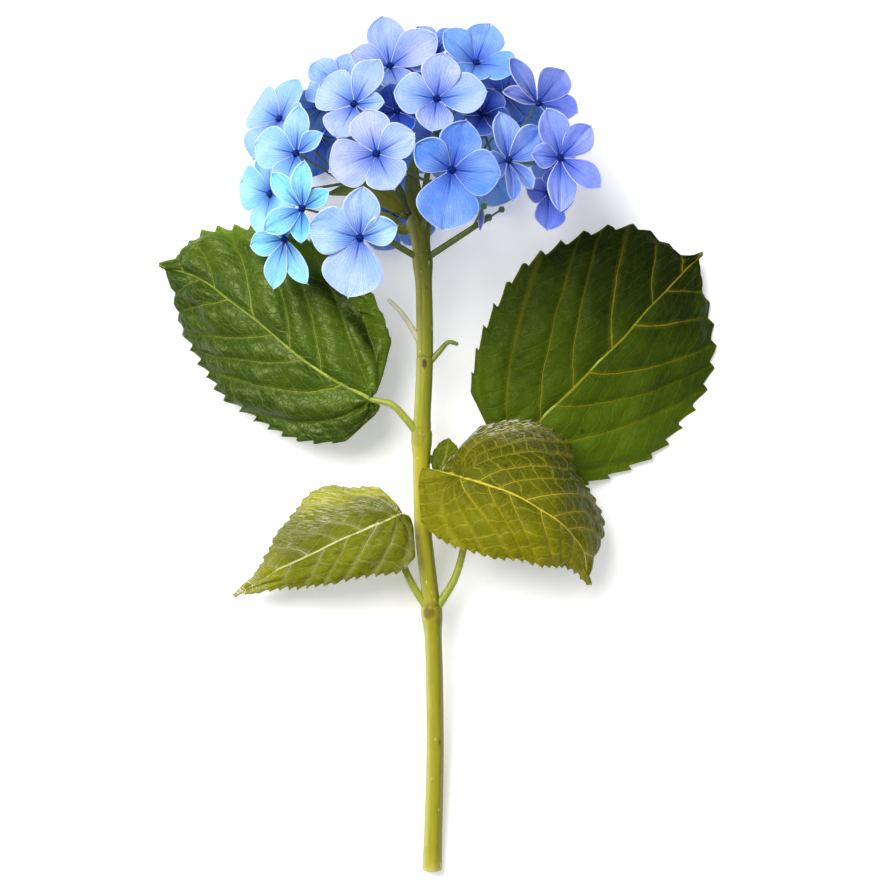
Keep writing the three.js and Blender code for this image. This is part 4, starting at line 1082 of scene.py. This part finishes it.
# ---------------------------------- build everything
sepal_look, eye_look = sepal_material(), eye_material()
floret_stalk = stalk_material("floret_stalk", srgb("5d7f9a"), srgb("3d5aa8"), srgb("6f8f4a"), 0.1)
ray_look = stalk_material("ray", srgb("4f5f14"), srgb("55705a"), srgb("6a7420"), 0.25)
bract_look = stalk_material("bract", srgb("75761a"), srgb("4a5f12"), srgb("8a8420"), 0.1)
petiole_look = stalk_material("petiole", srgb("8f9a26"), srgb("9aa42c"), srgb("a8a53a"), 0.35)
dark_petiole = stalk_material("petiole_upper", srgb("97a02a"), srgb("8a9a30"), srgb("a8a53a"), 0.35)

make_stem(stem_material())
for leaf_name in LEAVES:
    look = leaf_material(leaf_name, *(srgb(c) for c in LEAF_LOOK[leaf_name][:3]), *LEAF_LOOK[leaf_name][3:])
    make_leaf(leaf_name, look, dark_petiole if "upper" in leaf_name else petiole_look)
for stub_name in STUBS:
    make_stub(stub_name)
for node_name in NODES:
    if node_name.startswith("ray_"):
        make_ray(node_name, ray_look)
        for bract_number, bract in enumerate(BRACTS.get(node_name, [])):
            make_bract(node_name, bract_number, *bract)
for floret_index, floret_row in enumerate(all_rows()):
    make_floret(floret_index, floret_row, sepal_look, eye_look, floret_stalk)

# ---------------------------------- table, light and camera
def make_floor():
    mesh = bpy.data.meshes.new("table")
    side = 6.0
    corners = [(-side, -side, 0), (side, -side, 0), (side, side, 0), (-side, side, 0)]
    mesh.from_pydata(corners, [], [(0, 1, 2, 3)])
    material = Shade("table", 0.75, specular=0.2)
    material.base((0.93, 0.93, 0.93))
    material.set(material.shader, "Emission Color", (1, 1, 1))
    material.set(material.shader, "Emission Strength", 0.25)
    mesh.materials.append(material.material)
    floor = bpy.data.objects.new("table", mesh)
    bpy.context.scene.collection.objects.link(floor)


def aim(thing, target):
    direction = Vector(target) - thing.location
    thing.rotation_euler = direction.to_track_quat("-Z", "Y").to_euler()


def area_light(name, where, target, size, power, colour=(1, 1, 1)):
    data = bpy.data.lights.new(name, "AREA")
    data.shape, data.size, data.energy, data.color = "DISK", size, power, colour
    light = bpy.data.objects.new(name, data)
    bpy.context.scene.collection.objects.link(light)
    light.location = place(where)
    aim(light, place(target))


make_floor()
MIDDLE = (0, 200, 0)
area_light("key", (-480, 700, 1000), MIDDLE, 0.9, 20, (1.0, 0.985, 0.96))
area_light("fill", (700, 100, 900), MIDDLE, 1.2, 2.0, (0.95, 0.98, 1.0))
area_light("top", (0, 200, 1500), MIDDLE, 2.4, 5)

world = bpy.data.worlds.new("studio")
world.use_nodes = True
world.node_tree.nodes["Background"].inputs["Color"].default_value = (0.97, 0.985, 1.0, 1)
world.node_tree.nodes["Background"].inputs["Strength"].default_value = 0.3
bpy.context.scene.world = world
bpy.context.scene.view_settings.view_transform = "Standard"

AIM, DISTANCE, FRAME_WIDTH, SENSOR = np.array([7.2, 190.0, 0.0]), 1100.0, 403.2, 36.0
camera_data = bpy.data.cameras.new("camera")
camera_data.sensor_width = SENSOR
camera_data.lens = SENSOR * DISTANCE / FRAME_WIDTH
camera_data.clip_start, camera_data.clip_end = 0.05, 20
camera = bpy.data.objects.new("camera", camera_data)
bpy.context.scene.collection.objects.link(camera)
out, up = place([0, 0, 1]) - place([0, 0, 0]), place([0, 1, 0]) - place([0, 0, 0])
axes = Matrix([unit(np.cross(up, out)), unit(up), unit(out)]).transposed()
camera.matrix_world = Matrix.Translation(place(AIM + np.array([0, 0, DISTANCE]))) @ axes.to_4x4()
bpy.context.scene.camera = camera

bpy.context.view_layer.update()
